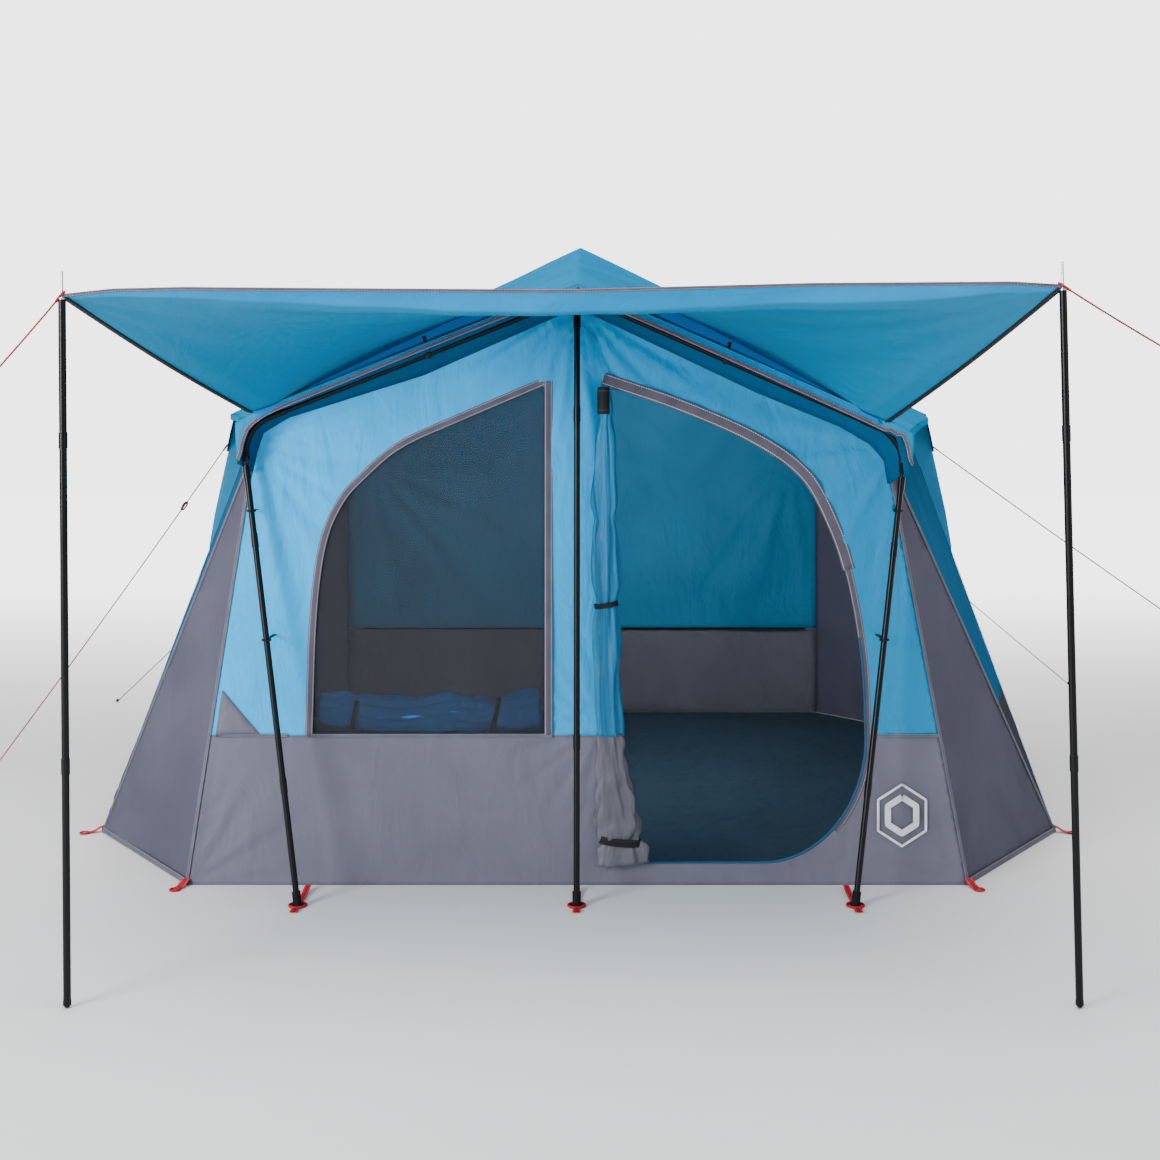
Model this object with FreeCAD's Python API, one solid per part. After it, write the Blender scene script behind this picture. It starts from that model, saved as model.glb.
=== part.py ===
"""Pop up tent: an octagonal cabin on a folding hub frame, with a porch awning on two poles.

Millimetres, +Z up. The origin is on the ground under the hub. The door side faces -Y.
"""
import FreeCAD, Part
import os
from math import pi, tan

V = FreeCAD.Vector

# ---- driving dimensions -------------------------------------------------------------------
# base of the cabin: an octagon, long at the front and back, cut at the four corners
BASE_HALF_DEPTH = 1500
FRONT_HEM_HALF = 1250
REAR_HEM_HALF = 1225
SIDE_HALF_WIDTH = 1730
SIDE_HALF_LENGTH = 863
# cabin heights
WALL_CORNER = (1030, 1378)      # x, z of the front wall's corner under the elbow
WALL_SHOULDER = (870, 1498)
WALL_APEX_Z = 1838
REAR_CORNER = (1225, 1335)
WALL_MID = (1400, 1400)         # x, z of the side wall's top, half way back
ROOF_APEX_Z = 2070
# fly, stretched over the frame
PEAK_Z = 2240
FLY_TEE = (1590, 1915)          # y, z of the fly's front and rear points
FLY_SHOULDER = (950, 1545)      # x, z
FLY_CORNER = (1080, 1485)
FLY_MID = (1478, 1532)
HOOD_BOTTOM_Z = 1357
HOOD_INNER_X = 985
HOOD_CHEEK = (110, 8, 40)      # its depth, and the rise of its top and bottom edges
MID_HOOD = (80, 55, 20, 1374)   # half widths at the top and bottom, flare, bottom height
# awning
AWNING_Y = -2520
TIP_LEFT = V(-1281, AWNING_Y, 1780)
TIP_RIGHT = V(1226, AWNING_Y, 1803)
AWNING_SAG = V(0, -2300, 1746)
AWNING_APEX = V(0, -1604, 1932)
AWNING_CORNER = (1075, -1604, 1500)
AWNING_FOOT_X = 1268
# frame
TUBE_R, TUBE_BORE = 9.5, 8.9
SLEEVE_R, SLEEVE_BORE = 10.9, 9.2    # the swaged joints between plug-in tubes
SOCKET_R, SOCKET_BORE = 11.5, 9.55
HUB_R, HUB_LOW, HUB_HIGH = 48, 2090, 2140
HUB_HINGE = (60, 2115)          # distance out from the hub's centre, and height
HUB_WALL, HUB_ROOF = 18, 8
CAP_R, CAP_SINK, CAP_GAP = 60, 24, 0.2
FRAME_Y = 1550
TEE_Z = 1880
TEE_BLOCK = (26, 13, 1852, 1894)    # half width, half depth, bottom and top
RIDGE_END = (16, 3)             # the ridge arm stops this far short of the tee, and above it
GABLE_HINGE = (40, 1866)
CENTRE_LEG_HINGE_Z = 1838
ELBOW_LEFT = (-1050, 1465, 1360)    # x, and the heights of its bend and its leg's hinge
ELBOW_RIGHT = (1030, 1430, 1325)
MID_BEND = (1413, 1520)
MID_HINGE = (1450, 1376)
BEND_SETBACK = 80               # from an elbow's corner to the ends of its bend
SOCKET_LENGTH = 60
SOCKET_STOP = 8                 # the solid end of a socket, beyond the tube in it
FORK_GAP = 18                   # from a leg's hinge to the end of its elbow's tube
FOOT_Y = 1720
FRONT_FOOT_X = 850
MID_FOOT_X = 1800
FOOT_R, FOOT_HEIGHT, FOOT_FLANGE = 17, 46, 9
FOOT_NECK_R = 13
FOOT_SOLE = 14                  # rubber under the end of a leg's tube
LEG_SLEEVES, LEG_SLEEVE_LENGTH = (0.17, 0.72), 45
POLE_PLUG_R, POLE_BALL_R = 10.4, 8
POLE_TUBE_START, POLE_PLUG_LENGTH = 12, 12
POLE_SLEEVES, POLE_SLEEVE_LENGTH = (0.33, 0.79), 40
TIP_BELOW_CLOTH = 6             # from an awning pole's top to the awning's corner
SPIKE_R, SPIKE_LENGTH, COLLAR_LENGTH = 3, 72, 4
# hinges: a tongue between two cheeks, on a pin
TONGUE_R, TONGUE_HALF = 11, 7.4
CHEEK_IN, CHEEK_OUT = 7.6, 11.6
PIN_R, PIN_CLEARANCE = 4.0, 0.06
FORK_ROOT = (14, 26)            # the block that joins the cheeks, measured from the pin
NECK_R = 5.8                    # slim, so that a leaning leg clears the cheeks
PLUG_START, NECK_LENGTH, TONGUE_SOCKET_END = 20, 26, 62
# cloth, webbing and rope
CLOTH = 1.2
SEAM = 3.0                      # cloth panels stop this far short of their seam line
WEB = 2.5
EYELET_R, EYELET_HOLE, EYELET_HEIGHT, EYELET_OUT = 12, 5.0, 3, 62
TAB_WIDTH, TAB_START, TAB_END = 34, 12, 24
STRAP_WIDTH, STRAP_TAIL = 25, 75
STRAP_REACH_FRONT, STRAP_REACH_SIDE = 210, 60
STRAP_RING_OUT, STRAP_RING_IN = 12, 1
ROPE_R = 2.5
SAG_SHARE = 0.45                # how much of a rope's shorter run its sag bends
RUNNER_HALF = (8, 5, 22)
RUNNER_CLEARANCE = 0.4
# door and window, as x, z on the front wall
DOOR_LEFT, DOOR_SILL, DOOR_TOE_X = 80, 76, 590
DOOR_CURVE = (
    (80, 1608), (330, 1522), (560, 1420), (715, 1310), (800, 1165),
    (862, 985), (908, 720), (920, 470),
)
DOOR_TOE_MIDDLE = (836, 214)
WINDOW_CURVE = (
    (-105, 1600), (-377, 1484), (-560, 1400), (-672, 1308), (-750, 1220),
    (-805, 1085), (-835, 850), (-848, 478),
)
WINDOW_CENTRE = (-470, 1000)
NET_OVERLAP, NET_GAP, NET_THICK = 14, 0.4, 0.8
FLAP_LOW, FLAP_HIGH, FLAP_ROUND = V(-835, 6, 484), V(-108, 62, 640), 22   # y from the wall
ROLL_OUT, ROLL_DEPTH = 34, 30
ROLL_STATIONS = ((92, 1592, 20), (94, 1200, 27), (98, 760, 30), (112, 400, 38), (142, 92, 60))
FLOOR_THICK, FLOOR_SEAM = 2.5, 9
CUT_MARGIN = 5                  # how far cutting shapes reach past what they cut


# ---- helpers ------------------------------------------------------------------------------
def cylinder(start, end, radius):
    """A solid rod from start to end."""
    return Part.makeCylinder(radius, (end - start).Length, start, end - start)


def tube(start, end, outer=TUBE_R, bore=TUBE_BORE):
    """A hollow tube from start to end."""
    return cylinder(start, end, outer).cut(cylinder(start, end, bore))


def along(start, end, distance):
    """The point this far from start, on the way to end."""
    return start + (end - start).normalize() * distance


def box(low, high):
    """A box between two corners."""
    return Part.makeBox(high.x - low.x, high.y - low.y, high.z - low.z, low)


def placed(shape, at, toward, axis):
    """Shape moved so that its own +Z points toward, and its own +Y lies on the hinge axis."""
    side = V(axis).normalize()
    up = (toward - side * toward.dot(side)).normalize()
    turn = FreeCAD.Rotation(side.cross(up), side, up, "ZYX")
    moved = shape.copy()
    moved.Placement = FreeCAD.Placement(at, turn)
    return moved


def fork(at, toward, axis):
    """The hinge's outer half: two cheeks with the pin, on a block that points toward the parent."""
    low_root, high_root = FORK_ROOT
    shape = box(V(-TONGUE_R, -CHEEK_OUT, low_root), V(TONGUE_R, CHEEK_OUT, high_root))
    for side in (-1, 1):
        low, high = sorted((side * CHEEK_IN, side * CHEEK_OUT))
        cheek = Part.makeCylinder(TONGUE_R, high - low, V(0, low, 0), V(0, 1, 0))
        web = box(V(-TONGUE_R, low, 0), V(TONGUE_R, high, low_root + 1))
        shape = shape.fuse([cheek, web])
    shape = shape.fuse(cylinder(V(0, -CHEEK_OUT, 0), V(0, CHEEK_OUT, 0), PIN_R))
    return placed(shape.removeSplitter(), at, toward, axis)


def tongue(at, toward, axis):
    """The hinge's inner half: an eye on the pin, and a socket that points toward the rod."""
    side = V(axis).normalize()
    eye = cylinder(at - side * TONGUE_HALF, at + side * TONGUE_HALF, TONGUE_R)
    start, end, mouth = (
        along(at, at + toward, reach) for reach in (PLUG_START, NECK_LENGTH, TONGUE_SOCKET_END)
    )
    neck = cylinder(at, end, NECK_R)
    plug = cylinder(start, end, SOCKET_R)
    socket = tube(along(end, at, 1), mouth, SOCKET_R, SOCKET_BORE)
    hole = cylinder(at - side * CHEEK_OUT, at + side * CHEEK_OUT, PIN_R + PIN_CLEARANCE)
    return eye.fuse([neck, plug, socket]).cut(hole).removeSplitter()


def bend(start, corner, end, outer=SOCKET_R, bore=SOCKET_BORE):
    """A tube from start to end, round one corner, on an arc that starts BEND_SETBACK away."""
    into, out = along(corner, start, BEND_SETBACK), along(corner, end, BEND_SETBACK)
    turn = (corner - start).getAngle(end - corner)
    radius = BEND_SETBACK / tan(turn / 2)
    inward = ((into - corner) + (out - corner)).normalize()
    reach = (radius ** 2 + BEND_SETBACK ** 2) ** 0.5
    middle = corner + inward * (reach - radius)
    path = Part.Wire([
        Part.LineSegment(start, into).toShape(),
        Part.Arc(into, middle, out).toShape(),
        Part.LineSegment(out, end).toShape(),
    ])
    rings = [Part.Wire(Part.Circle(start, into - start, r).toShape()) for r in (outer, bore)]
    skin, hollow = (path.makePipeShell([ring], True, False) for ring in rings)
    return skin.cut(hollow)


def panel(points, inward, thickness=CLOTH, seam=SEAM):
    """A flat sheet of cloth: the polygon drawn in by the seam, and given a thickness inward."""
    centre = sum(points, V()) * (1.0 / len(points))
    edges = zip(points, points[1:] + points[:1])
    reach = min(centre.distanceToLine(a, b - a) for a, b in edges)
    corners = [centre + (p - centre) * (1 - seam / reach) for p in points]
    face = Part.Face(Part.makePolygon(corners + corners[:1]))
    normal = (points[1] - points[0]).cross(points[2] - points[0]).normalize()
    if normal.dot(inward - centre) < 0:
        normal = -normal
    return face.extrude(normal * thickness)


def flat_outline(points):
    """A closed wire on the front wall's plane, from (x, z) points, all straight."""
    spots = [V(x, 0, z) for x, z in points]
    return Part.makePolygon(spots + spots[:1])


def group(shapes):
    """Several separate solids in one node."""
    return Part.makeCompound(list(shapes))


# ---- frame --------------------------------------------------------------------------------
def hub_body():
    """The moulded hub, with a fork for each of its four arms."""
    out, z = HUB_HINGE
    shape = Part.makeCylinder(HUB_R, HUB_HIGH - HUB_LOW, V(0, 0, HUB_LOW))
    bore = Part.makeCylinder(HUB_R - HUB_WALL, HUB_HIGH - HUB_LOW - HUB_ROOF, V(0, 0, HUB_LOW))
    shape = shape.cut(bore)
    for x, y in ((1, 0), (-1, 0), (0, 1), (0, -1)):
        at = V(x * out, y * out, z)
        shape = shape.fuse(fork(at, V(-x, -y, 0), V(y, x, 0)))
    return shape.removeSplitter()


def hub_cap():
    """The domed cap that carries the fly's peak."""
    dome = Part.makeSphere(CAP_R, V(0, 0, HUB_HIGH - CAP_SINK))
    keep = Part.makeCylinder(CAP_R, CAP_R, V(0, 0, HUB_HIGH + CAP_GAP))
    return dome.common(keep)


def arm(hinge, end, axis):
    """A roof arm: its tongue at the hub, and the tube out to end."""
    eye = tongue(hinge, end - hinge, axis)
    return eye.fuse(tube(along(hinge, end, NECK_LENGTH + 1), end))


def ridge_ends(side):
    """The hub hinge and the outer end of the front (-1) or rear (1) ridge arm."""
    out, z = HUB_HINGE
    short, above = RIDGE_END
    return V(0, side * out, z), V(0, side * (FRAME_Y - short), TEE_Z + above)


def tee(side):
    """The tee at the gable's top: a socket for the ridge arm, and forks for two arms and a leg."""
    middle = V(0, side * FRAME_Y, TEE_Z)
    hinge, end = ridge_ends(side)
    half_width, half_depth, low, high = TEE_BLOCK
    block = box(V(-half_width, middle.y - half_depth, low), V(half_width, middle.y + half_depth, high))
    rod = cylinder(along(end, hinge, -SOCKET_STOP), along(end, hinge, SOCKET_LENGTH), SOCKET_R)
    hollow = cylinder(end, along(end, hinge, SOCKET_LENGTH + CUT_MARGIN), SOCKET_BORE)
    block = block.fuse(rod).cut(hollow)
    x, z = GABLE_HINGE
    for hand in (-1, 1):
        at = V(hand * x, middle.y, z)
        block = block.fuse(fork(at, V(-hand, 0, 0), V(0, 1, 0)))
    leg = fork(V(0, middle.y, CENTRE_LEG_HINGE_Z), V(0, 0, 1), V(1, 0, 0))
    return block.fuse(leg).removeSplitter()


def elbow_points(hand, side):
    """The bend of a corner elbow and the hinge of the leg under it."""
    x, bend_z, hinge_z = ELBOW_LEFT if hand < 0 else ELBOW_RIGHT
    return V(x, side * FRAME_Y, bend_z), V(x, side * FRAME_Y, hinge_z)


def gable_arm(hand, side):
    """The arm from the tee down to a corner elbow."""
    x, z = GABLE_HINGE
    hinge = V(hand * x, side * FRAME_Y, z)
    corner, _ = elbow_points(hand, side)
    return arm(hinge, along(corner, hinge, BEND_SETBACK + SOCKET_STOP), V(0, 1, 0))


def corner_elbow(hand, side):
    """The bend over a corner leg, with the leg's fork at its lower end."""
    x, z = GABLE_HINGE
    corner, end = elbow_points(hand, side)
    start = along(corner, V(hand * x, side * FRAME_Y, z), BEND_SETBACK + SOCKET_LENGTH)
    pipe = bend(start, corner, along(end, corner, FORK_GAP))
    return pipe.fuse(fork(end, corner - end, V(0, 1, 0)))


def mid_arm(hand):
    """The arm from the hub out to a side elbow."""
    out, z = HUB_HINGE
    hinge, corner = V(hand * out, 0, z), V(hand * MID_BEND[0], 0, MID_BEND[1])
    return arm(hinge, along(corner, hinge, BEND_SETBACK + SOCKET_STOP), V(0, 1, 0))


def mid_elbow(hand):
    """The bend over a side leg."""
    out, z = HUB_HINGE
    corner = V(hand * MID_BEND[0], 0, MID_BEND[1])
    start = along(corner, V(hand * out, 0, z), BEND_SETBACK + SOCKET_LENGTH)
    end = V(hand * MID_HINGE[0], 0, MID_HINGE[1])
    pipe = bend(start, corner, along(end, corner, FORK_GAP))
    return pipe.fuse(fork(end, corner - end, V(0, 1, 0)))


def leg_lines():
    """Each leg's name, with its hinge, its foot on the ground and its hinge axis."""
    lines = {}
    for side, end in ((-1, "front"), (1, "rear")):
        foot_y = side * FOOT_Y
        for hand, name in ((-1, "left"), (1, "right")):
            _, hinge = elbow_points(hand, side)
            lines[f"{end}_{name}"] = (hinge, V(hand * FRONT_FOOT_X, foot_y, 0), V(0, 1, 0))
        hinge = V(0, side * FRAME_Y, CENTRE_LEG_HINGE_Z)
        lines[f"{end}_centre"] = (hinge, V(0, foot_y, 0), V(1, 0, 0))
    for hand, name in ((-1, "left"), (1, "right")):
        hinge = V(hand * MID_HINGE[0], 0, MID_HINGE[1])
        lines[f"mid_{name}"] = (hinge, V(hand * MID_FOOT_X, 0, 0), V(0, 1, 0))
    return lines


def leg(hinge, foot, axis):
    """A leg of plug-in tubes: the tongue, the tubes and the two joint sleeves."""
    shape = arm(hinge, along(foot, hinge, FOOT_SOLE), axis)
    length = (hinge - foot).Length
    for share in LEG_SLEEVES:
        low = along(hinge, foot, share * length)
        end = along(low, foot, LEG_SLEEVE_LENGTH)
        shape = shape.fuse(tube(low, end, SLEEVE_R, SLEEVE_BORE))
    return shape


def foot_cap(hinge, foot):
    """The rubber foot, flat on the ground, round the leg's end."""
    top, below = along(foot, hinge, FOOT_HEIGHT), along(foot, hinge, -FOOT_R)
    shape = cylinder(below, top, FOOT_NECK_R)
    shape = shape.fuse(Part.makeCylinder(FOOT_R, FOOT_FLANGE, foot))
    spare = V(FOOT_HEIGHT, FOOT_HEIGHT, 0)
    shape = shape.cut(box(foot - spare - V(0, 0, FOOT_HEIGHT), foot + spare))
    seat = along(foot, hinge, FOOT_SOLE - 0.1)
    return shape.cut(cylinder(seat, along(top, hinge, CUT_MARGIN), SOCKET_BORE))


def awning_ends(hand):
    """The ground point and the top of the left (-1) or right (1) awning pole."""
    tip = TIP_LEFT if hand < 0 else TIP_RIGHT
    return V(hand * AWNING_FOOT_X, AWNING_Y, 0), tip - V(0, 0, TIP_BELOW_CLOTH)


def awning_pole(hand):
    """An awning pole of plug-in tubes, with a ball end on the ground."""
    foot, top = awning_ends(hand)
    low = along(foot, top, POLE_TUBE_START)
    ball = Part.makeSphere(POLE_BALL_R, foot + V(0, 0, POLE_BALL_R))
    plug = along(foot, top, POLE_BALL_R)
    pieces = [ball, cylinder(plug, along(plug, top, POLE_PLUG_LENGTH), POLE_PLUG_R)]
    for share in POLE_SLEEVES:
        ring = along(foot, top, share * (top - foot).Length)
        pieces.append(tube(ring, along(ring, top, POLE_SLEEVE_LENGTH), SLEEVE_R, SLEEVE_BORE))
    return tube(low, top).fuse(pieces)


def awning_spike(hand):
    """The steel pin in the top of an awning pole, which the awning's eyelet drops over."""
    foot, top = awning_ends(hand)
    shoulder = along(top, foot, -0.1)
    collar = cylinder(shoulder, along(shoulder, foot, -COLLAR_LENGTH), TUBE_R - 1)
    pin = cylinder(shoulder, along(shoulder, foot, -SPIKE_LENGTH), SPIKE_R)
    return collar.fuse(pin)


# ---- cloth --------------------------------------------------------------------------------
INSIDE = V(0, 0, 700)           # a point inside the cabin, which every wall faces


def cabin_points(hand):
    """The named corners of one half of the inner tent."""
    return {
        "front_hem": V(hand * FRONT_HEM_HALF, -BASE_HALF_DEPTH, 0),
        "rear_hem": V(hand * REAR_HEM_HALF, BASE_HALF_DEPTH, 0),
        "side_front": V(hand * SIDE_HALF_WIDTH, -SIDE_HALF_LENGTH, 0),
        "side_rear": V(hand * SIDE_HALF_WIDTH, SIDE_HALF_LENGTH, 0),
        "front_top": V(hand * WALL_CORNER[0], -BASE_HALF_DEPTH, WALL_CORNER[1]),
        "rear_top": V(hand * REAR_CORNER[0], BASE_HALF_DEPTH, REAR_CORNER[1]),
        "front_shoulder": V(hand * WALL_SHOULDER[0], -BASE_HALF_DEPTH, WALL_SHOULDER[1]),
        "rear_shoulder": V(hand * WALL_SHOULDER[0], BASE_HALF_DEPTH, WALL_SHOULDER[1]),
        "mid_top": V(hand * WALL_MID[0], 0, WALL_MID[1]),
        "front_apex": V(0, -BASE_HALF_DEPTH, WALL_APEX_Z),
        "rear_apex": V(0, BASE_HALF_DEPTH, WALL_APEX_Z),
        "apex": V(0, 0, ROOF_APEX_Z),
    }


def panels(named, triples):
    """One cloth panel for each group of named corners."""
    return [panel([named[name] for name in names], INSIDE) for names in triples]


def wall_plate(outline, y, thickness):
    """A flat plate from an outline of (x, z) points, with its outer face at y."""
    face = Part.Face(outline)
    face.translate(V(0, y, 0))
    return face.extrude(V(0, thickness, 0))


def door_outline():
    """The door's D shape: straight at the hinge side and the sill, curved from top to toe."""
    points = [V(x, 0, z) for x, z in DOOR_CURVE]
    curve = Part.BSplineCurve()
    curve.interpolate(points)
    middle_x, middle_z = DOOR_TOE_MIDDLE
    heel, end = V(DOOR_LEFT, 0, DOOR_SILL), V(DOOR_TOE_X, 0, DOOR_SILL)
    toe = Part.Arc(points[-1], V(middle_x, 0, middle_z), end)
    return Part.Wire([
        Part.LineSegment(heel, points[0]).toShape(), curve.toShape(), toe.toShape(),
        Part.LineSegment(end, heel).toShape(),
    ])


def window_outline(grow=0):
    """The window's outline: straight at the right and the sill, curved at the left."""
    middle_x, middle_z = WINDOW_CENTRE
    points = [
        (x + grow * (1 if x > middle_x else -1), z + grow * (1 if z > middle_z else -1))
        for x, z in WINDOW_CURVE
    ]
    curve = Part.BSplineCurve()
    curve.interpolate([V(x, 0, z) for x, z in points])
    first, last = points[0], points[-1]
    return Part.Wire([
        curve.toShape(),
        Part.LineSegment(V(last[0], 0, last[1]), V(first[0], 0, last[1])).toShape(),
        Part.LineSegment(V(first[0], 0, last[1]), V(first[0], 0, first[1])).toShape(),
    ])


def gable_outline(hem_half, top, seam=SEAM):
    """The outline of the front or back wall, drawn in a little from its seams."""
    x, z = WALL_SHOULDER
    half = [(hem_half - seam, 0), (top[0] - seam, top[1] - seam), (x - seam, z - seam)]
    return flat_outline(half + [(0, WALL_APEX_Z - seam)] + [(-a, b) for a, b in half[::-1]])


def front_wall():
    """The front wall, with its door and its window cut out."""
    wall = wall_plate(gable_outline(FRONT_HEM_HALF, WALL_CORNER), -BASE_HALF_DEPTH, CLOTH)
    for hole in (door_outline(), window_outline()):
        wall = wall.cut(wall_plate(hole, -BASE_HALF_DEPTH - CUT_MARGIN, 2 * CUT_MARGIN))
    return wall


def back_wall():
    """The plain back wall."""
    return wall_plate(gable_outline(REAR_HEM_HALF, REAR_CORNER), BASE_HALF_DEPTH - CLOTH, CLOTH)


def side_wall(hand):
    """One side wall: three triangles that meet at the side elbow."""
    return group(panels(cabin_points(hand), (
        ("front_top", "mid_top", "side_front"),
        ("mid_top", "side_front", "side_rear"),
        ("rear_top", "mid_top", "side_rear"),
    )))


def corner_panels():
    """The four dark triangles across the cut corners."""
    shapes = []
    for hand in (-1, 1):
        shapes += panels(cabin_points(hand), (
            ("front_top", "front_hem", "side_front"),
            ("rear_top", "rear_hem", "side_rear"),
        ))
    return group(shapes)


def inner_roof():
    """The breathable ceiling under the arms."""
    shapes = []
    for hand in (-1, 1):
        shapes += panels(cabin_points(hand), (
            ("apex", "front_apex", "front_shoulder"),
            ("apex", "front_shoulder", "front_top"),
            ("apex", "front_top", "mid_top"),
            ("apex", "rear_apex", "rear_shoulder"),
            ("apex", "rear_shoulder", "rear_top"),
            ("apex", "rear_top", "mid_top"),
        ))
    return group(shapes)


def floor():
    """The groundsheet."""
    corners = cabin_points(1)
    half = [corners[n] for n in ("front_hem", "side_front", "side_rear", "rear_hem")]
    points = half + [V(-p.x, p.y, 0) for p in half[::-1]]
    return panel(points, INSIDE, thickness=FLOOR_THICK, seam=FLOOR_SEAM)


def window_mesh():
    """The insect net, sewn behind the window."""
    return wall_plate(window_outline(NET_OVERLAP), -BASE_HALF_DEPTH + CLOTH + NET_GAP, NET_THICK)


def window_flap():
    """The window's storm flap, folded down and tied along the sill inside."""
    wall = V(0, -BASE_HALF_DEPTH, 0)
    shape = box(FLAP_LOW + wall, FLAP_HIGH + wall)
    return shape.makeFillet(FLAP_ROUND, shape.Edges)


def door_roll():
    """The open door, rolled up and tied at the hinge side, and loose at the bottom."""
    y = -BASE_HALF_DEPTH - ROLL_OUT
    rings = [
        Part.Wire(Part.Ellipse(V(x, y, z), r, min(r, ROLL_DEPTH)).toShape())
        for x, z, r in ROLL_STATIONS
    ]
    return Part.makeLoft(rings, True, True)


def hood(hand, side):
    """The fly's hood over a corner elbow: a face panel and a cheek panel."""
    y = side * FLY_TEE[0]
    x_in, x_out = hand * FLY_SHOULDER[0], hand * FLY_CORNER[0]
    face = [V(x_in, y, FLY_SHOULDER[1]), V(x_out, y, FLY_CORNER[1]),
            V(x_out, y, HOOD_BOTTOM_Z), V(hand * HOOD_INNER_X, y, HOOD_BOTTOM_Z)]
    depth, top_rise, low_rise = HOOD_CHEEK
    back = y - side * depth
    cheek = [V(x_out, y, FLY_CORNER[1]), V(x_out, back, FLY_CORNER[1] + top_rise),
             V(x_out, back, HOOD_BOTTOM_Z + low_rise), V(x_out, y, HOOD_BOTTOM_Z)]
    return [panel(face, INSIDE), panel(cheek, INSIDE)]


def mid_hood(hand):
    """The fly's hood over a side elbow."""
    x, z = FLY_MID
    top, low, flare, low_z = MID_HOOD
    return panel([V(hand * x, -top, z), V(hand * x, top, z),
                  V(hand * (x + flare), low, low_z), V(hand * (x + flare), -low, low_z)], INSIDE)


def fly():
    """The outer roof: panels from the peak to the tees, corners and sides, with the hoods."""
    peak = V(0, 0, PEAK_Z)
    shapes = []
    for hand in (-1, 1):
        middle = V(hand * FLY_MID[0], 0, FLY_MID[1])
        shapes.append(mid_hood(hand))
        for side in (-1, 1):
            tee_point = V(0, side * FLY_TEE[0], FLY_TEE[1])
            shoulder = V(hand * FLY_SHOULDER[0], side * FLY_TEE[0], FLY_SHOULDER[1])
            corner = V(hand * FLY_CORNER[0], side * FLY_TEE[0], FLY_CORNER[1])
            shapes += hood(hand, side)
            for pair in ((tee_point, shoulder), (shoulder, corner), (corner, middle)):
                shapes.append(panel([peak, *pair], INSIDE))
    return group(shapes)


def awning():
    """The porch awning, which dips behind its front edge and rises to the gable."""
    left = V(-AWNING_CORNER[0], *AWNING_CORNER[1:])
    right = V(*AWNING_CORNER)
    triangles = (
        (TIP_LEFT, TIP_RIGHT, AWNING_SAG), (TIP_LEFT, AWNING_SAG, AWNING_APEX),
        (TIP_RIGHT, AWNING_SAG, AWNING_APEX), (TIP_LEFT, AWNING_APEX, left),
        (TIP_RIGHT, AWNING_APEX, right),
    )
    return group(panel(list(t), INSIDE) for t in triangles)


# ---- webbing, eyelets and ropes -----------------------------------------------------------
def base_corners():
    """The octagon's corners, each with the direction that its peg loop points."""
    corners = []
    for hand in (-1, 1):
        points = cabin_points(hand)
        for name, out in (("front_hem", V(0.35 * hand, -1, 0)), ("rear_hem", V(0.35 * hand, 1, 0)),
                          ("side_front", V(hand, -0.4, 0)), ("side_rear", V(hand, 0.4, 0))):
            corners.append((points[name], out.normalize()))
    return corners


def strip(start, end, width=STRAP_WIDTH, thickness=WEB):
    """A flat strap on the ground from start to end."""
    way = (end - start).normalize()
    side = V(-way.y, way.x, 0) * (width / 2)
    corners = [start - side, start + side, end + side, end - side]
    return Part.Face(Part.makePolygon(corners + corners[:1])).extrude(V(0, 0, thickness))


def eyelet_centre(corner, out):
    """The centre of a corner's eyelet."""
    return corner + out * EYELET_OUT


def peg_loops():
    """The webbing: a tab with an eyelet at each corner, and a strap round each foot."""
    shapes = []
    for corner, out in base_corners():
        centre = eyelet_centre(corner, out)
        below = V(0, 0, CUT_MARGIN)
        hole = Part.makeCylinder(EYELET_R + 0.1, 3 * CUT_MARGIN, centre - below)
        tab = strip(corner + out * TAB_START, centre + out * TAB_END, width=TAB_WIDTH)
        shapes.append(tab.cut(hole))
    for hinge, foot, axis in leg_lines().values():
        at_side = foot.y == 0
        out = (V(foot.x, 0, 0) if at_side else V(0, foot.y, 0)).normalize()
        hem = foot - out * (STRAP_REACH_SIDE if at_side else STRAP_REACH_FRONT)
        ring = Part.makeCylinder(FOOT_R + STRAP_RING_OUT, WEB, foot)
        strap = strip(hem, foot + out * STRAP_TAIL).fuse(ring)
        below = V(0, 0, CUT_MARGIN)
        hole = Part.makeCylinder(FOOT_R + STRAP_RING_IN, 3 * CUT_MARGIN, foot - below)
        shapes.append(strap.cut(hole).removeSplitter())
    return group(s for shape in shapes for s in shape.Solids)


def peg_eyelets():
    """The pressed steel eyelets in the corner tabs."""
    rings = []
    for corner, out in base_corners():
        centre = eyelet_centre(corner, out)
        rings.append(tube(centre, centre + V(0, 0, EYELET_HEIGHT), EYELET_R, EYELET_HOLE))
    return group(rings)


# each guyline: where it leaves the tent, a point where it sags a little, and its far end
GUYLINES = {
    "guyline_mid_left": (V(-1506, 0, 1382), V(-2010, 41, 676), V(-2520, 86, 6)),
    "guyline_mid_right": (V(1506, 0, 1382), V(2000, 0, 1022), V(2495, 0, 678)),
    "guyline_rear_left": (V(-1086, 1602, 1390), V(-1800, 1697, 686), V(-2529, 1796, 6)),
    "guyline_rear_right": (V(1086, 1602, 1400), V(1950, 1975, 690), V(2822, 2353, 6)),
    "guyline_awning_left": (V(-1294, AWNING_Y, 1772), V(-1376, AWNING_Y, 1674),
                            V(-1461, AWNING_Y, 1580)),
    "guyline_awning_right": (V(1240, AWNING_Y, 1800), V(1366, AWNING_Y, 1719),
                             V(1494, AWNING_Y, 1645)),
}
# the share of the way down its rope where each runner sits
RUNNERS = {"guyline_mid_left": 0.17, "guyline_rear_right": 0.26}


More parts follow.
